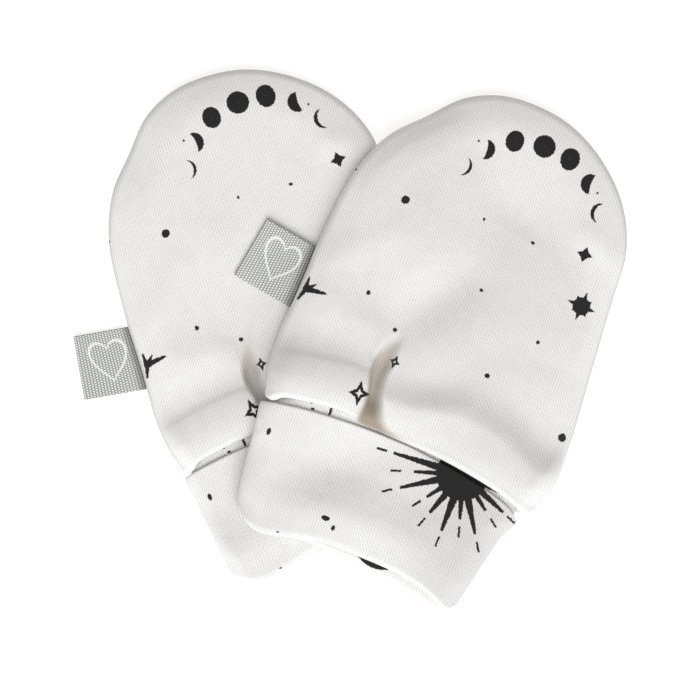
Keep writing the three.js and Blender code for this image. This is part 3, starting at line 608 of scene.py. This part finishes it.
# cuffs
def cuffSection():
    # one turn of the section: (share from fold to top, further along, depth, past the top)
    leaf, slit, inner = cuff["leaf"], cuff["slit"], cuff["innerLeaf"]
    a, b, c = leaf, leaf + slit, leaf + slit + inner
    out, lip, (deep, middle) = cuff["foldReach"], cuff["lipReach"], cuff["insideFold"]
    turn = np.linspace(0, math.pi, cuff["turnSteps"])[1:-1]
    leafShares = np.linspace(*cuff["leafSteps"])
    stations = [(1, k, c, 1) for k in (0, -1, -2)]
    stations += [(s, 0, c, 0) for s in leafShares[::-1]]
    stations += [(0, out - out * math.sin(t), c / 2 + c / 2 * math.cos(t), 0) for t in turn]
    stations += [(s, 0, 0, 0) for s in leafShares]
    stations += [(1, -lip + lip * math.sin(t), a / 2 - a / 2 * math.cos(t), 0) for t in turn[::2]]
    stations += [(s, 0, a, 0) for s in leafShares[::-3]]
    stations += [(0, deep, a, 0), (0, middle, (a + b) / 2, 0), (0, deep, b, 0)]
    stations += [(s, 0, b, 0) for s in leafShares[::3]]
    stations += [(1, k, b, 1) for k in (-2, -1, 0)]
    stations += [(1, 0, c, 1)]
    return stations


def cuffPiece(side):
    lift, place = lifts[side], places[side]
    shares = graded(*cuff["net"])
    ring = [(s, 1) for s in shares] + [(s, -1) for s in shares[1:-1][::-1]] + [(shares[0], 1)]
    share = np.array([s for s, _ in ring])[:, None]
    facing = np.array([f for _, f in ring])[:, None]
    up, off, depth, neck = (np.array(column)[None, :] for column in zip(*cuffSection()))
    fold = np.where(facing > 0, cuffEdge["frontFold"](share), cuffEdge["backFold"](share))
    top = cuffEdge["top"](share)
    v = lerp(fold, top, up) + off + neck * cuff["neckReach"]
    width = cuffRight(v) - cuffLeft(v)
    fromEnd = np.minimum(share, 1 - share) * width
    inset = depth * (1 - eased(fromEnd / cuff["endBlend"])) * np.where(share < 0.5, 1, -1)
    u = cuffLeft(v) + share * width + inset
    ends = rounded((fromEnd + np.abs(inset) - depth) / (cuff["edge"] - depth))
    # the front swells, and its inner leaf less towards the top, where it rises to the hand
    inner = depth > cuff["leaf"] + 0.01
    soft = swellAt(share, up) + wrinkle(cuff, u, v)
    soft = soft * np.where(inner, eased((top + 1 - v) / cuff["foldFade"]), 1)
    soft = (soft + cuff["neckRise"] * ramp(v - top, -1.5, 2) * inner) * (facing > 0)
    middle = cuff["height"] / 2
    z = middle + (facing * (middle - depth) + soft) * ends
    points = np.stack([u, v, z + lift(u, v, 1 - eased(fromEnd / drape["close"]))], axis=-1)
    # its right end and its fold turn away from the light
    end, low = shading["cuffEnd"], shading["cuffFold"]
    shade = end["most"] * ramp(share, end["start"], end["width"]) * np.ones_like(v)
    shade = shade + low["most"] * np.exp(-((v - fold) / low["width"]) ** 2)
    shade = np.where((facing > 0) & (depth < 0.01), shade, 0)
    uv = clothUv(u + np.where(facing > 0, 0, cuff["backMap"]), v)
    return gridMesh(side + "_cuff_cloth", points, uv, place, shade)


# labels
label = {
    "width": 16.9,
    "reach": 15.5,
    "tilt": math.radians(10),
    "at": (-40.3, 5.65),  # the middle of the edge that is sewn in
    "tape": 0.42,
    "fold": 0.55,  # outer radius of its fold
    "droop": 3.6,  # how far from the seam it has come down
    "dip": 0.3,  # how much lower it leaves the seam
    "steps": 34,  # along each layer
    "turnSteps": 11,  # round its fold
    "columns": 49,
    "map": 60,  # its map's size, with the seam at its right edge
}


def labelPiece(side):
    lift, place = lifts[side], places[side]
    outward = np.array([-math.cos(label["tilt"]), math.sin(label["tilt"])])
    sideways = np.array([math.sin(label["tilt"]), math.cos(label["tilt"])])
    straight, level = np.linspace(0, 1, label["steps"]), np.ones(label["steps"])
    turn = np.linspace(-math.pi / 2, math.pi / 2, label["turnSteps"])[1:-1]
    share = np.concatenate([straight, np.ones(len(turn)), straight[::-1]])
    lifted = np.concatenate([-level, np.sin(turn), level]) * label["fold"]
    out = np.concatenate([0 * level, np.cos(turn), 0 * level]) * label["fold"]
    across = np.linspace(-0.5, 0.5, label["columns"])
    sewn = np.array(label["at"]) + across[:, None] * label["width"] * sideways
    start = (insideSeam(sewn[:, 0], sewn[:, 1]) + 0.1) / math.cos(label["tilt"])
    reach = lerp(start[:, None], label["reach"] - label["fold"], share[None, :]) + out[None, :]
    at = sewn[:, None, :] + reach[..., None] * outward
    middle = lerp(hand["thinSeam"] - label["dip"], label["fold"] + 0.05, eased(reach / label["droop"]))
    z = middle + lifted[None, :] + lift(at[..., 0], at[..., 1], 1)
    points = np.stack([at[..., 0], at[..., 1], z], axis=-1)
    line = points[label["columns"] // 2]
    run = np.cumsum(np.concatenate([[0], np.linalg.norm(np.diff(line, axis=0), axis=1)]))
    along = (run[None, :] - run[-1]) / label["map"] + 1
    beside = across[:, None] * label["width"] / label["map"] + 0.5
    uv = np.stack(np.broadcast_arrays(along, beside), axis=-1)
    piece = gridMesh(side + "_label_tape", points[::-1], uv[::-1], place)
    addWall(piece, label["tape"])
    return piece


# small helpers for materials
def newGroup(name, inputs, outputs):
    # an input is a vector where its default is a tuple; outputs are numbers
    tree = bpy.data.node_groups.new(name, "ShaderNodeTree")
    for title, value in inputs.items():
        kind = "NodeSocketVector" if isinstance(value, tuple) else "NodeSocketFloat"
        tree.interface.new_socket(name=title, in_out="INPUT", socket_type=kind).default_value = value
    for title in outputs:
        tree.interface.new_socket(name=title, in_out="OUTPUT", socket_type="NodeSocketFloat")
    return tree, tree.nodes.new("NodeGroupInput").outputs, tree.nodes.new("NodeGroupOutput").inputs


def feed(tree, socket, value):
    if isinstance(value, bpy.types.NodeSocket):
        tree.links.new(value, socket)
    else:
        socket.default_value = value


def setInputs(node, values):
    for name, value in values.items():
        node.inputs[name].default_value = value


def maths(tree, operation, *values, clamp=False):
    node = tree.nodes.new("ShaderNodeMath")
    node.operation = operation
    node.use_clamp = clamp
    for socket, value in zip(node.inputs, values):
        feed(tree, socket, value)
    return node.outputs[0]


def vectorMaths(tree, operation, *values):
    node = tree.nodes.new("ShaderNodeVectorMath")
    node.operation = operation
    for socket, value in zip(node.inputs, values):
        feed(tree, socket, value)
    return node.outputs["Value" if operation == "LENGTH" else "Vector"]


def split(tree, vector):
    node = tree.nodes.new("ShaderNodeSeparateXYZ")
    tree.links.new(vector, node.inputs[0])
    return node.outputs[0], node.outputs[1]


def useGroup(tree, group, **values):
    node = tree.nodes.new("ShaderNodeGroup")
    node.node_tree = group
    for name, value in values.items():
        feed(tree, node.inputs[name], value)
    return node


def mixColour(tree, factor, a, b, blend="MIX"):
    node = tree.nodes.new("ShaderNodeMix")
    node.data_type = "RGBA"
    node.blend_type = blend
    feed(tree, node.inputs["Factor"], factor)
    feed(tree, node.inputs[6], a)
    feed(tree, node.inputs[7], b)
    return node.outputs[2]


def noise(tree, vector, scale, detail, output="Fac"):
    node = tree.nodes.new("ShaderNodeTexNoise")
    tree.links.new(vector, node.inputs["Vector"])
    setInputs(node, {"Scale": scale, "Detail": detail})
    return node.outputs[output]


def shaken(tree, point, scale, detail, reach):
    # the point, moved aside by a noise
    aside = vectorMaths(tree, "SUBTRACT", noise(tree, point, scale, detail, "Color"), (0.5, 0.5, 0.5))
    return vectorMaths(tree, "ADD", point, vectorMaths(tree, "MULTIPLY", aside, (reach, reach, 0)))


def colour(r, g, b):
    # from the 0-255 values of a picture
    shares = (c / 255 for c in (r, g, b))
    return tuple(s / 12.92 if s <= 0.04045 else ((s + 0.055) / 1.055) ** 2.4 for s in shares) + (1,)


def newMaterial(name, size, middle):
    # a material, its nodes, its shader, and a point on its map in millimetres
    material = bpy.data.materials.new(name)
    material.use_nodes = True
    tree = material.node_tree
    mapNode = tree.nodes.new("ShaderNodeUVMap")
    mapNode.uv_map = "clothMap"
    toMillimetres = tree.nodes.new("ShaderNodeMapping")
    x, y = middle
    setInputs(toMillimetres, {"Scale": (size, size, 1), "Location": (-size * x, -size * y, 0)})
    tree.links.new(mapNode.outputs[0], toMillimetres.inputs["Vector"])
    return material, tree, tree.nodes["Principled BSDF"], toMillimetres.outputs[0]


def addBump(tree, shader, height, values):
    bump = tree.nodes.new("ShaderNodeBump")
    setInputs(bump, values)
    tree.links.new(height, bump.inputs["Height"])
    tree.links.new(bump.outputs[0], shader.inputs["Normal"])


# shared node groups
def knitGroup():
    # fine interlock knit: rows of small stitches, each row set half a stitch aside, and faint ribs
    tree, given, result = newGroup("knitStitch", {"Point": (0, 0, 0), "Wale": 0.7, "Course": 0.54,
                                                  "Stitches": 0.22, "Ribs": 0.22}, ["Height", "Gap"])
    calc = partial(maths, tree)

    def wave(turns):
        return calc("COSINE", calc("MULTIPLY", turns, 2 * math.pi))
    u, v = split(tree, given["Point"])
    x = calc("DIVIDE", u, given["Wale"])
    y = calc("MULTIPLY", calc("DIVIDE", v, given["Course"]), 0.5)
    stitches = calc("ADD", wave(calc("SUBTRACT", x, y)), wave(calc("ADD", x, y)))
    height = calc("MULTIPLY_ADD", stitches, given["Stitches"], 0.5)
    height = calc("MULTIPLY_ADD", wave(x), given["Ribs"], height)
    tree.links.new(height, result["Height"])
    tree.links.new(calc("SUBTRACT", 1, height), result["Gap"])
    return tree


inkSharpness = 6.0  # how fast ink begins at its edge, in shares for a millimetre
solid = 9.0  # a line so wide that it fills its star


def inkGroup(name, inputs, within):
    # one motif; within says how far inside its edge a point is, in millimetres
    tree, given, result = newGroup(name, {"Point": (0, 0, 0), "Centre": (0, 0, 0), **inputs}, ["Mask"])
    off = vectorMaths(tree, "SUBTRACT", given["Point"], given["Centre"])
    inside = within(tree, partial(maths, tree), given, off)
    tree.links.new(maths(tree, "MULTIPLY_ADD", inside, inkSharpness, 0.5, clamp=True), result["Mask"])
    return tree


def inSpot(tree, calc, given, off):
    # a disc or oval, with a round bite out of it for a moon
    share = vectorMaths(tree, "LENGTH", vectorMaths(tree, "DIVIDE", off, given["Radii"]))
    radius, _ = split(tree, given["Radii"])
    toBite = vectorMaths(tree, "LENGTH", vectorMaths(tree, "SUBTRACT", off, given["Bite"]))
    return calc("MINIMUM", calc("MULTIPLY", calc("SUBTRACT", 1, share), radius),
                calc("SUBTRACT", toBite, given["BiteRadius"]))


def inStar(tree, calc, given, off):
    # a star with any number of points and straight sides, solid or drawn as a line
    off = vectorMaths(tree, "DIVIDE", off, given["Stretch"])
    u, v = split(tree, off)
    radius = vectorMaths(tree, "LENGTH", off)
    half = calc("DIVIDE", math.pi, given["Points"])
    turned = calc("ADD", calc("ARCTAN2", v, u), given["Turn"])
    # the angle from the nearest arm, and the point in that arm's frame
    angle = calc("ABSOLUTE", calc("WRAP", turned, half, calc("MULTIPLY", half, -1)))
    along = calc("MULTIPLY", radius, calc("COSINE", angle))
    beside = calc("MULTIPLY", radius, calc("SINE", angle))
    # the side runs from the arm's tip to the notch
    notchOut = calc("MULTIPLY", given["Inner"], calc("SINE", half))
    run = calc("SUBTRACT", given["Outer"], calc("MULTIPLY", given["Inner"], calc("COSINE", half)))
    length = calc("SQRT", calc("ADD", calc("MULTIPLY", run, run), calc("MULTIPLY", notchOut, notchOut)))
    within = calc("MULTIPLY", calc("SUBTRACT", given["Outer"], along), notchOut)
    within = calc("DIVIDE", calc("SUBTRACT", within, calc("MULTIPLY", run, beside)), length)
    return calc("MINIMUM", within, calc("SUBTRACT", given["Line"], within))


def inRay(tree, calc, given, off):
    # one tapering stroke out from a centre, and a dash beyond it
    u, v = split(tree, off)
    sine, cosine = (calc(name, given["Angle"]) for name in ("SINE", "COSINE"))
    along = calc("ADD", calc("MULTIPLY", u, cosine), calc("MULTIPLY", v, sine))
    beside = calc("ABSOLUTE", calc("SUBTRACT", calc("MULTIPLY", v, cosine), calc("MULTIPLY", u, sine)))
    share = calc("DIVIDE", along, given["Length"], clamp=True)
    width = calc("MULTIPLY_ADD", share, calc("SUBTRACT", given["Tip"], given["Base"]), given["Base"])
    stroke = calc("MINIMUM", calc("SUBTRACT", width, beside), calc("SUBTRACT", given["Length"], along))
    toMiddle = calc("ABSOLUTE", calc("SUBTRACT", along, given["Dash"]))
    dash = calc("MINIMUM", calc("SUBTRACT", given["DashWidth"], beside),
                calc("MULTIPLY_ADD", given["DashLength"], 0.5, calc("MULTIPLY", toMiddle, -1)))
    # neither shows behind the centre
    return calc("MINIMUM", calc("MAXIMUM", stroke, dash), along)


groups = {
    "knit": knitGroup(),
    "spot": inkGroup("inkSpot", {"Radii": (1, 1, 1), "Bite": (0, 0, 0), "BiteRadius": 0.0}, inSpot),
    "star": inkGroup("inkStar", {"Stretch": (1, 1, 1), "Points": 4, "Turn": 0, "Outer": 2, "Inner": 0.8,
                                 "Line": solid}, inStar),
    "ray": inkGroup("inkRay", {"Angle": 0, "Length": 12, "Base": 0.9, "Tip": 0.38, "Dash": -9,
                               "DashLength": 2.8, "DashWidth": 0.3}, inRay),
}
print("node groups made")


# the print
# ordinary moons, stars, dots and suns, each drawn by its own formula
def dots(rows):
    # rows: across, along, half the width and, where it differs, half the height
    return [("spot", (u, v), {"Radii": (radii[0], radii[-1], 1)}) for u, v, *radii in rows]


def moons(rows):
    # rows: across, along, half the width, half the height, the bite's centre from the moon's, its radius
    return [("spot", (u, v), {"Radii": (wide, high, 1), "Bite": (*bite, 0), "BiteRadius": radius})
            for u, v, wide, high, bite, radius in rows]


def stars(rows):
    # rows: across, along, points, outer and inner radius, turn, width of its line, stretch across
    names = ("Points", "Outer", "Inner", "Turn", "Line")
    return [("star", row[:2], {**dict(zip(names, row[2:7])), "Stretch": (row[7], 1, 1)}) for row in rows]


def strokes(rows):
    # rows: across, along, angle, length, half the width at the base and at the tip
    return [("ray", row[:2], dict(zip(("Angle", "Length", "Base", "Tip"), row[2:]))) for row in rows]


def sunRays(centre, rows):
    # rows: angle in degrees, the ray's length, the middle of its dash, half its width at the base
    return [("ray", centre, {"Angle": math.radians(angle), "Length": length, "Dash": dash, "Base": base})
            for angle, length, dash, base in rows]


ink = {
    "hand": dots([
        (-0.5, 57.6, 2.4, 2.8), (7.2, 59, 2.95), (14.6, 58.2, 2.55, 3), (-9.4, 54.4, 0.3),
        (24.3, 52.4, 0.28), (30.4, 23.3, 2.35), (-22, 33.4, 1.1), (-1.1, 35.8, 0.35, 0.45),
        (12.9, 34.4, 0.52), (-37, 36.6, 0.6, 0.4), (4.4, 18.2, 0.5), (22.8, 10.6, 0.5),
        (-22.8, 7.6, 0.6), (-13.1, 0.9, 0.55), (13.3, -2.1, 0.7), (37.3, -10.5, 1.12),
    ]) + moons([
        (-7, 53, 2.5, 2.65, (-6.2, -0.6), 6.7), (21.7, 53.9, 2.5, 2.65, (7.6, 0), 7.4),
        (-11, 47, 2.35, 2.5, (-1.55, 0.1), 3.1), (26.6, 47.6, 2.4, 2.6, (1.7, 0), 3.05),
    ]) + stars([
        (26.6, 36.2, 4, 2.1, 1.15, 0, solid, 1),
        (30.4, 23.3, 8, 2.95, 2.1, 0.07, solid, 1), (30.4, 23.3, 4, 4, 1.4, 0.07, solid, 1),
        (-10.3, -6.9, 4, 1.9, 0.9, 0.12, 0.62, 0.75), (-16.2, -17.6, 4, 3.4, 1.45, -0.17, 0.88, 0.85),
    ]) + strokes([
        # a burst half hidden by the side seam
        (-38.4, 2.9, 1.6, 3.4, 0.8, 0.15), (-38.4, 2.9, 0.75, 3.1, 0.65, 0.2),
        (-38.8, 3, 0.08, 6, 0.95, 0.3), (-38.4, 2.9, 4.4, 3.4, 0.7, 0.25),
    ]),
    "back": dots([
        (9, 18, 5), (-22, 44, 2.9, 3), (-14.5, 49.5, 2.6, 2.9),
        (-6, -8, 0.8), (27, -4, 0.6), (-30, -6, 1.1),
    ]) + moons([
        (-28, 37, 2.5, 2.8, (2.9, 0.4), 2.6), (-6.5, 52.5, 2.4, 2.7, (-1.1, 0.3), 2.35),
    ]) + stars([
        (-20, 12, 4, 3.3, 1.4, 0, 0.88, 0.85), (22, 47, 4, 2.4, 1.14, 0, solid, 1),
    ]) + sunRays((9, 18), [(18 * k, 11 + 3.5 * (k % 2), 14.3 + 3.5 * (k % 2), 0.85) for k in range(20)]),
    "cuff": dots([
        (16, -28.2, 6.8), (-34.7, -34.8, 0.55, 0.95), (-13.3, -50.8, 1.15, 0.65),
        (-10.6, -52.5, 0.52, 0.8), (-23.7, -58.4, 0.4, 0.25), (-21.5, -24.4, 0.4, 1.35),
        (-27, -24, 0.4, 0.3), (-26, -25.5, 0.5, 0.35),
        # on the cuff's back, which has its own part of the map
        (92.8, -51.6, 7.8, 7.4), (100.3, -57.7, 0.9, 0.35), (112, -40, 1),
    ]) + stars([(72, -44, 4, 3.3, 1.4, 0, 0.88, 0.85)]) + sunRays((16.1, -28.1), [
        (183, 18.7, 21.8, 1.3), (197, 12.7, 17.3, 1), (212, 16.6, 20, 1.35), (232, 11, 14.1, 1.15),
        (249, 13.2, 16.2, 1.5), (269, 15.6, 18.5, 1.6), (286, 11.7, 14.9, 1.2), (301.5, 15.8, 19.2, 1.45),
        (322, 11.1, 14.9, 1.15), (336.5, 14.4, 17.3, 1.4), (354, 12, 16, 1),
    ]),
}
cotton = {
    "light": colour(241, 240, 239),
    "gap": colour(180, 177, 173),  # between the stitches, as painted shade in the knit's hollows
    "deep": (0.5, 0.44, 0.35, 1),  # painted shade: what the cloth's colour is multiplied by deep in a fold
    "turned": (0.6, 0.6, 0.6, 1),  # painted shade: and where the cuff turns away from the light
    "ink": colour(24, 24, 24),
    # painted highlight on the ink, where the stitches stand up
    "inkHighlightColour": colour(52, 52, 52),
    # noises: scale, detail and, where they move a point, its reach
    "wander": (0.12, 2, 1.6),  # the knit wanders a little, as washed cotton does
    "jagged": (1.9, 1, 0.5),  # and ink has uneven edges
    "mottle": (0.35, 3),
    "thread": (2.2, 1),
    # how much of the gap colour shows: painted shade between stitches, with random mottle and thread tone
    "byGap": 0.62,
    "byMottle": 0.2,
    "byThread": 0.3,
    "least": -0.265,
    "shader": {"Roughness": 0.92, "Sheen Weight": 0.15, "Sheen Roughness": 0.5, "Specular IOR Level": 0.2},
    "bump": {"Strength": 0.45, "Distance": 0.00012},
    "threadRelief": 0.6,
}


def makeCloth(name, motifs, deep):
    material, tree, shader, point = newMaterial(name, mapSize, (0.5, 0.5))
    calc = partial(maths, tree)
    knit = useGroup(tree, groups["knit"], Point=shaken(tree, point, *cotton["wander"]))
    uneven = shaken(tree, point, *cotton["jagged"])
    mask = 0.0
    for kind, centre, values in motifs:
        drawn = useGroup(tree, groups[kind], Point=uneven, Centre=(*centre, 0), **values).outputs[0]
        mask = calc("MAXIMUM", mask, drawn)
    mottle = noise(tree, point, *cotton["mottle"])
    thread = noise(tree, point, *cotton["thread"])
    # painted shade in the gaps between stitches, with random mottle and thread tone
    stitchShadeAndMottle = calc("MULTIPLY_ADD", thread, cotton["byThread"], cotton["least"])
    stitchShadeAndMottle = calc("MULTIPLY_ADD", mottle, cotton["byMottle"], stitchShadeAndMottle)
    stitchShadeAndMottle = calc("MULTIPLY_ADD", knit.outputs["Gap"], cotton["byGap"], stitchShadeAndMottle, clamp=True)
    plain = mixColour(tree, stitchShadeAndMottle, cotton["light"], cotton["gap"])
    # painted highlight: the ink is lighter where the stitches stand up, varied by the thread noise
    inkHighlight = calc("MULTIPLY", knit.outputs["Height"], thread)
    inked = mixColour(tree, inkHighlight, cotton["ink"], cotton["inkHighlightColour"])
    # painted shade from the foldShade attribute: deep in the pleat, along the hem, by a seam and on the cuff
    shade = tree.nodes.new("ShaderNodeAttribute")
    shade.attribute_name = "foldShade"
    shaded = mixColour(tree, 1, plain, cotton[deep], "MULTIPLY")
    plain = mixColour(tree, shade.outputs["Fac"], plain, shaded)
    tree.links.new(mixColour(tree, mask, plain, inked), shader.inputs["Base Color"])
    setInputs(shader, cotton["shader"])
    relief = calc("MULTIPLY_ADD", thread, cotton["threadRelief"], knit.outputs["Height"])
    addBump(tree, shader, relief, cotton["bump"])
    return material


tape = {
    "light": colour(241, 242, 239),
    "dark": colour(130, 133, 127),
    "drawing": colour(246, 247, 245),
    "thread": (0.78, 0.66),  # between the tape's threads, out from the seam and along it
    "heart": (4.9, 4.3),  # half the heart's width, and its height's unit
    "heartAt": (7.3, 0.28),  # how far out from the seam, and how far down in those units
    "notch": 0.015,  # how round the notch between its lobes is
    "line": 0.3,  # half the width of the drawn line
    "lineSharpness": 5,
    "threadsShow": 0.35,  # how much the tape's threads show in the line
    "shadeBySeam": (0.5, 0.5, 0.49, 1),  # painted shade by the seam: its colour is multiplied by this there
    "seamFade": (0.6, 1.4),  # how fast that comes, and how much there is at the seam
    "shader": {"Roughness": 0.7},
    "bump": {"Strength": 0.8, "Distance": 0.00015},
}


def makeTape():
    # woven tape with a plain heart drawn in white thread
    material, tree, shader, point = newMaterial("wovenTape", label["map"], (1, 0.5))
    calc = partial(maths, tree)
    u, v = split(tree, point)
    column = calc("DIVIDE", u, tape["thread"][0])
    row = calc("ADD", calc("DIVIDE", v, tape["thread"][1]), calc("MULTIPLY", calc("FLOOR", column), 0.5))
    ridges = [calc("SINE", calc("MULTIPLY", calc("FRACT", place), math.pi)) for place in (column, row)]
    weave = calc("MULTIPLY", *ridges)
    # a plain heart, its outline where x squared and (y - root of x) squared make 1
    x = calc("DIVIDE", calc("ADD", u, tape["heartAt"][0]), tape["heart"][0])
    y = calc("MULTIPLY_ADD", v, 1 / tape["heart"][1], tape["heartAt"][1])
    lobe = calc("SQRT", calc("ADD", calc("ABSOLUTE", x), tape["notch"]))
    below = calc("SUBTRACT", y, lobe)
    away = calc("SQRT", calc("ADD", calc("MULTIPLY", x, x), calc("MULTIPLY", below, below)))
    off = calc("MULTIPLY", calc("ABSOLUTE", calc("SUBTRACT", away, 1)), tape["heart"][1])
    drawn = calc("SUBTRACT", tape["line"], off)
    drawn = calc("MULTIPLY_ADD", drawn, tape["lineSharpness"], 0.5, clamp=True)
    woven = mixColour(tree, weave, tape["dark"], tape["light"])
    shown = calc("MULTIPLY_ADD", weave, tape["threadsShow"], 1 - tape["threadsShow"])
    stitched = calc("MULTIPLY", drawn, shown)
    seen = mixColour(tree, stitched, woven, tape["drawing"])
    # painted shade: the tape is darker towards the seam it is sewn into
    shadeBySeam = calc("MULTIPLY_ADD", u, *tape["seamFade"], clamp=True)
    seamShaded = mixColour(tree, 1, seen, tape["shadeBySeam"], "MULTIPLY")
    tree.links.new(mixColour(tree, shadeBySeam, seen, seamShaded), shader.inputs["Base Color"])
    setInputs(shader, tape["shader"])
    addBump(tree, shader, weave, tape["bump"])
    return material


materials = {"front": makeCloth("printedCottonFront", ink["hand"], "deep"),
             "back": makeCloth("printedCottonBack", ink["back"], "deep"),
             "cuff": makeCloth("printedCottonCuff", ink["cuff"], "turned"),
             "label": makeTape()}
print("materials made")

# making the pieces
makers = {"front": (frontPanel, "front_panel", "cloth"), "back": (backPanel, "back_panel", "cloth"),
          "cuff": (cuffPiece, "cuff", "cloth"), "label": (labelPiece, "label", "tape")}
for side, under in (("left", "floor"), ("right", "left_front_cloth")):
    for kind, (make, node, slot) in makers.items():
        piece = make(side)
        piece.data.materials.append(materials[kind])
        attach(piece, "root")
        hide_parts(side + "_" + node)
        print("made", piece.name, len(piece.data.polygons), "faces")

# floor and light
studio = {
    "floor": {"Base Color": colour(188, 188, 188), "Roughness": 0.9, "Emission Color": (1, 1, 1, 1),
              "Emission Strength": 0.65},  # the table is lit from below
    "floorHalf": 3,
    "floorDrop": 0.0001,
    "world": {"Color": (1, 0.97, 0.935, 1), "Strength": 0.5},
    "key": 2.8,
    "keyTint": (0.97, 0.985, 1),
    "keyFrom": (0, -1.05, 1),
    "keySoftness": 60,
}
bm = bmesh.new()
bmesh.ops.create_grid(bm, x_segments=1, y_segments=1, size=studio["floorHalf"])
floorMesh = bpy.data.meshes.new("floor")
bm.to_mesh(floorMesh)
bm.free()
floor = bpy.data.objects.new("floor", floorMesh)
floorMesh.transform(Matrix.Translation((0, 0, -studio["floorDrop"])))
bpy.context.scene.collection.objects.link(floor)
floorMaterial = bpy.data.materials.new("paleFloor")
floorMaterial.use_nodes = True
setInputs(floorMaterial.node_tree.nodes["Principled BSDF"], studio["floor"])
floorMesh.materials.append(floorMaterial)

world = bpy.data.worlds.new("studio")
bpy.context.scene.world = world
world.use_nodes = True
setInputs(world.node_tree.nodes["Background"], studio["world"])
keyData = bpy.data.lights.new("key", "SUN")
keyData.energy = studio["key"]
keyData.color = studio["keyTint"]
keyData.angle = math.radians(studio["keySoftness"])
key = bpy.data.objects.new("key", keyData)
key.rotation_mode = "QUATERNION"
key.rotation_quaternion = Vector(studio["keyFrom"]).to_track_quat("Z", "Y")
bpy.context.scene.collection.objects.link(key)
bpy.context.scene.view_settings.view_transform = "Standard"
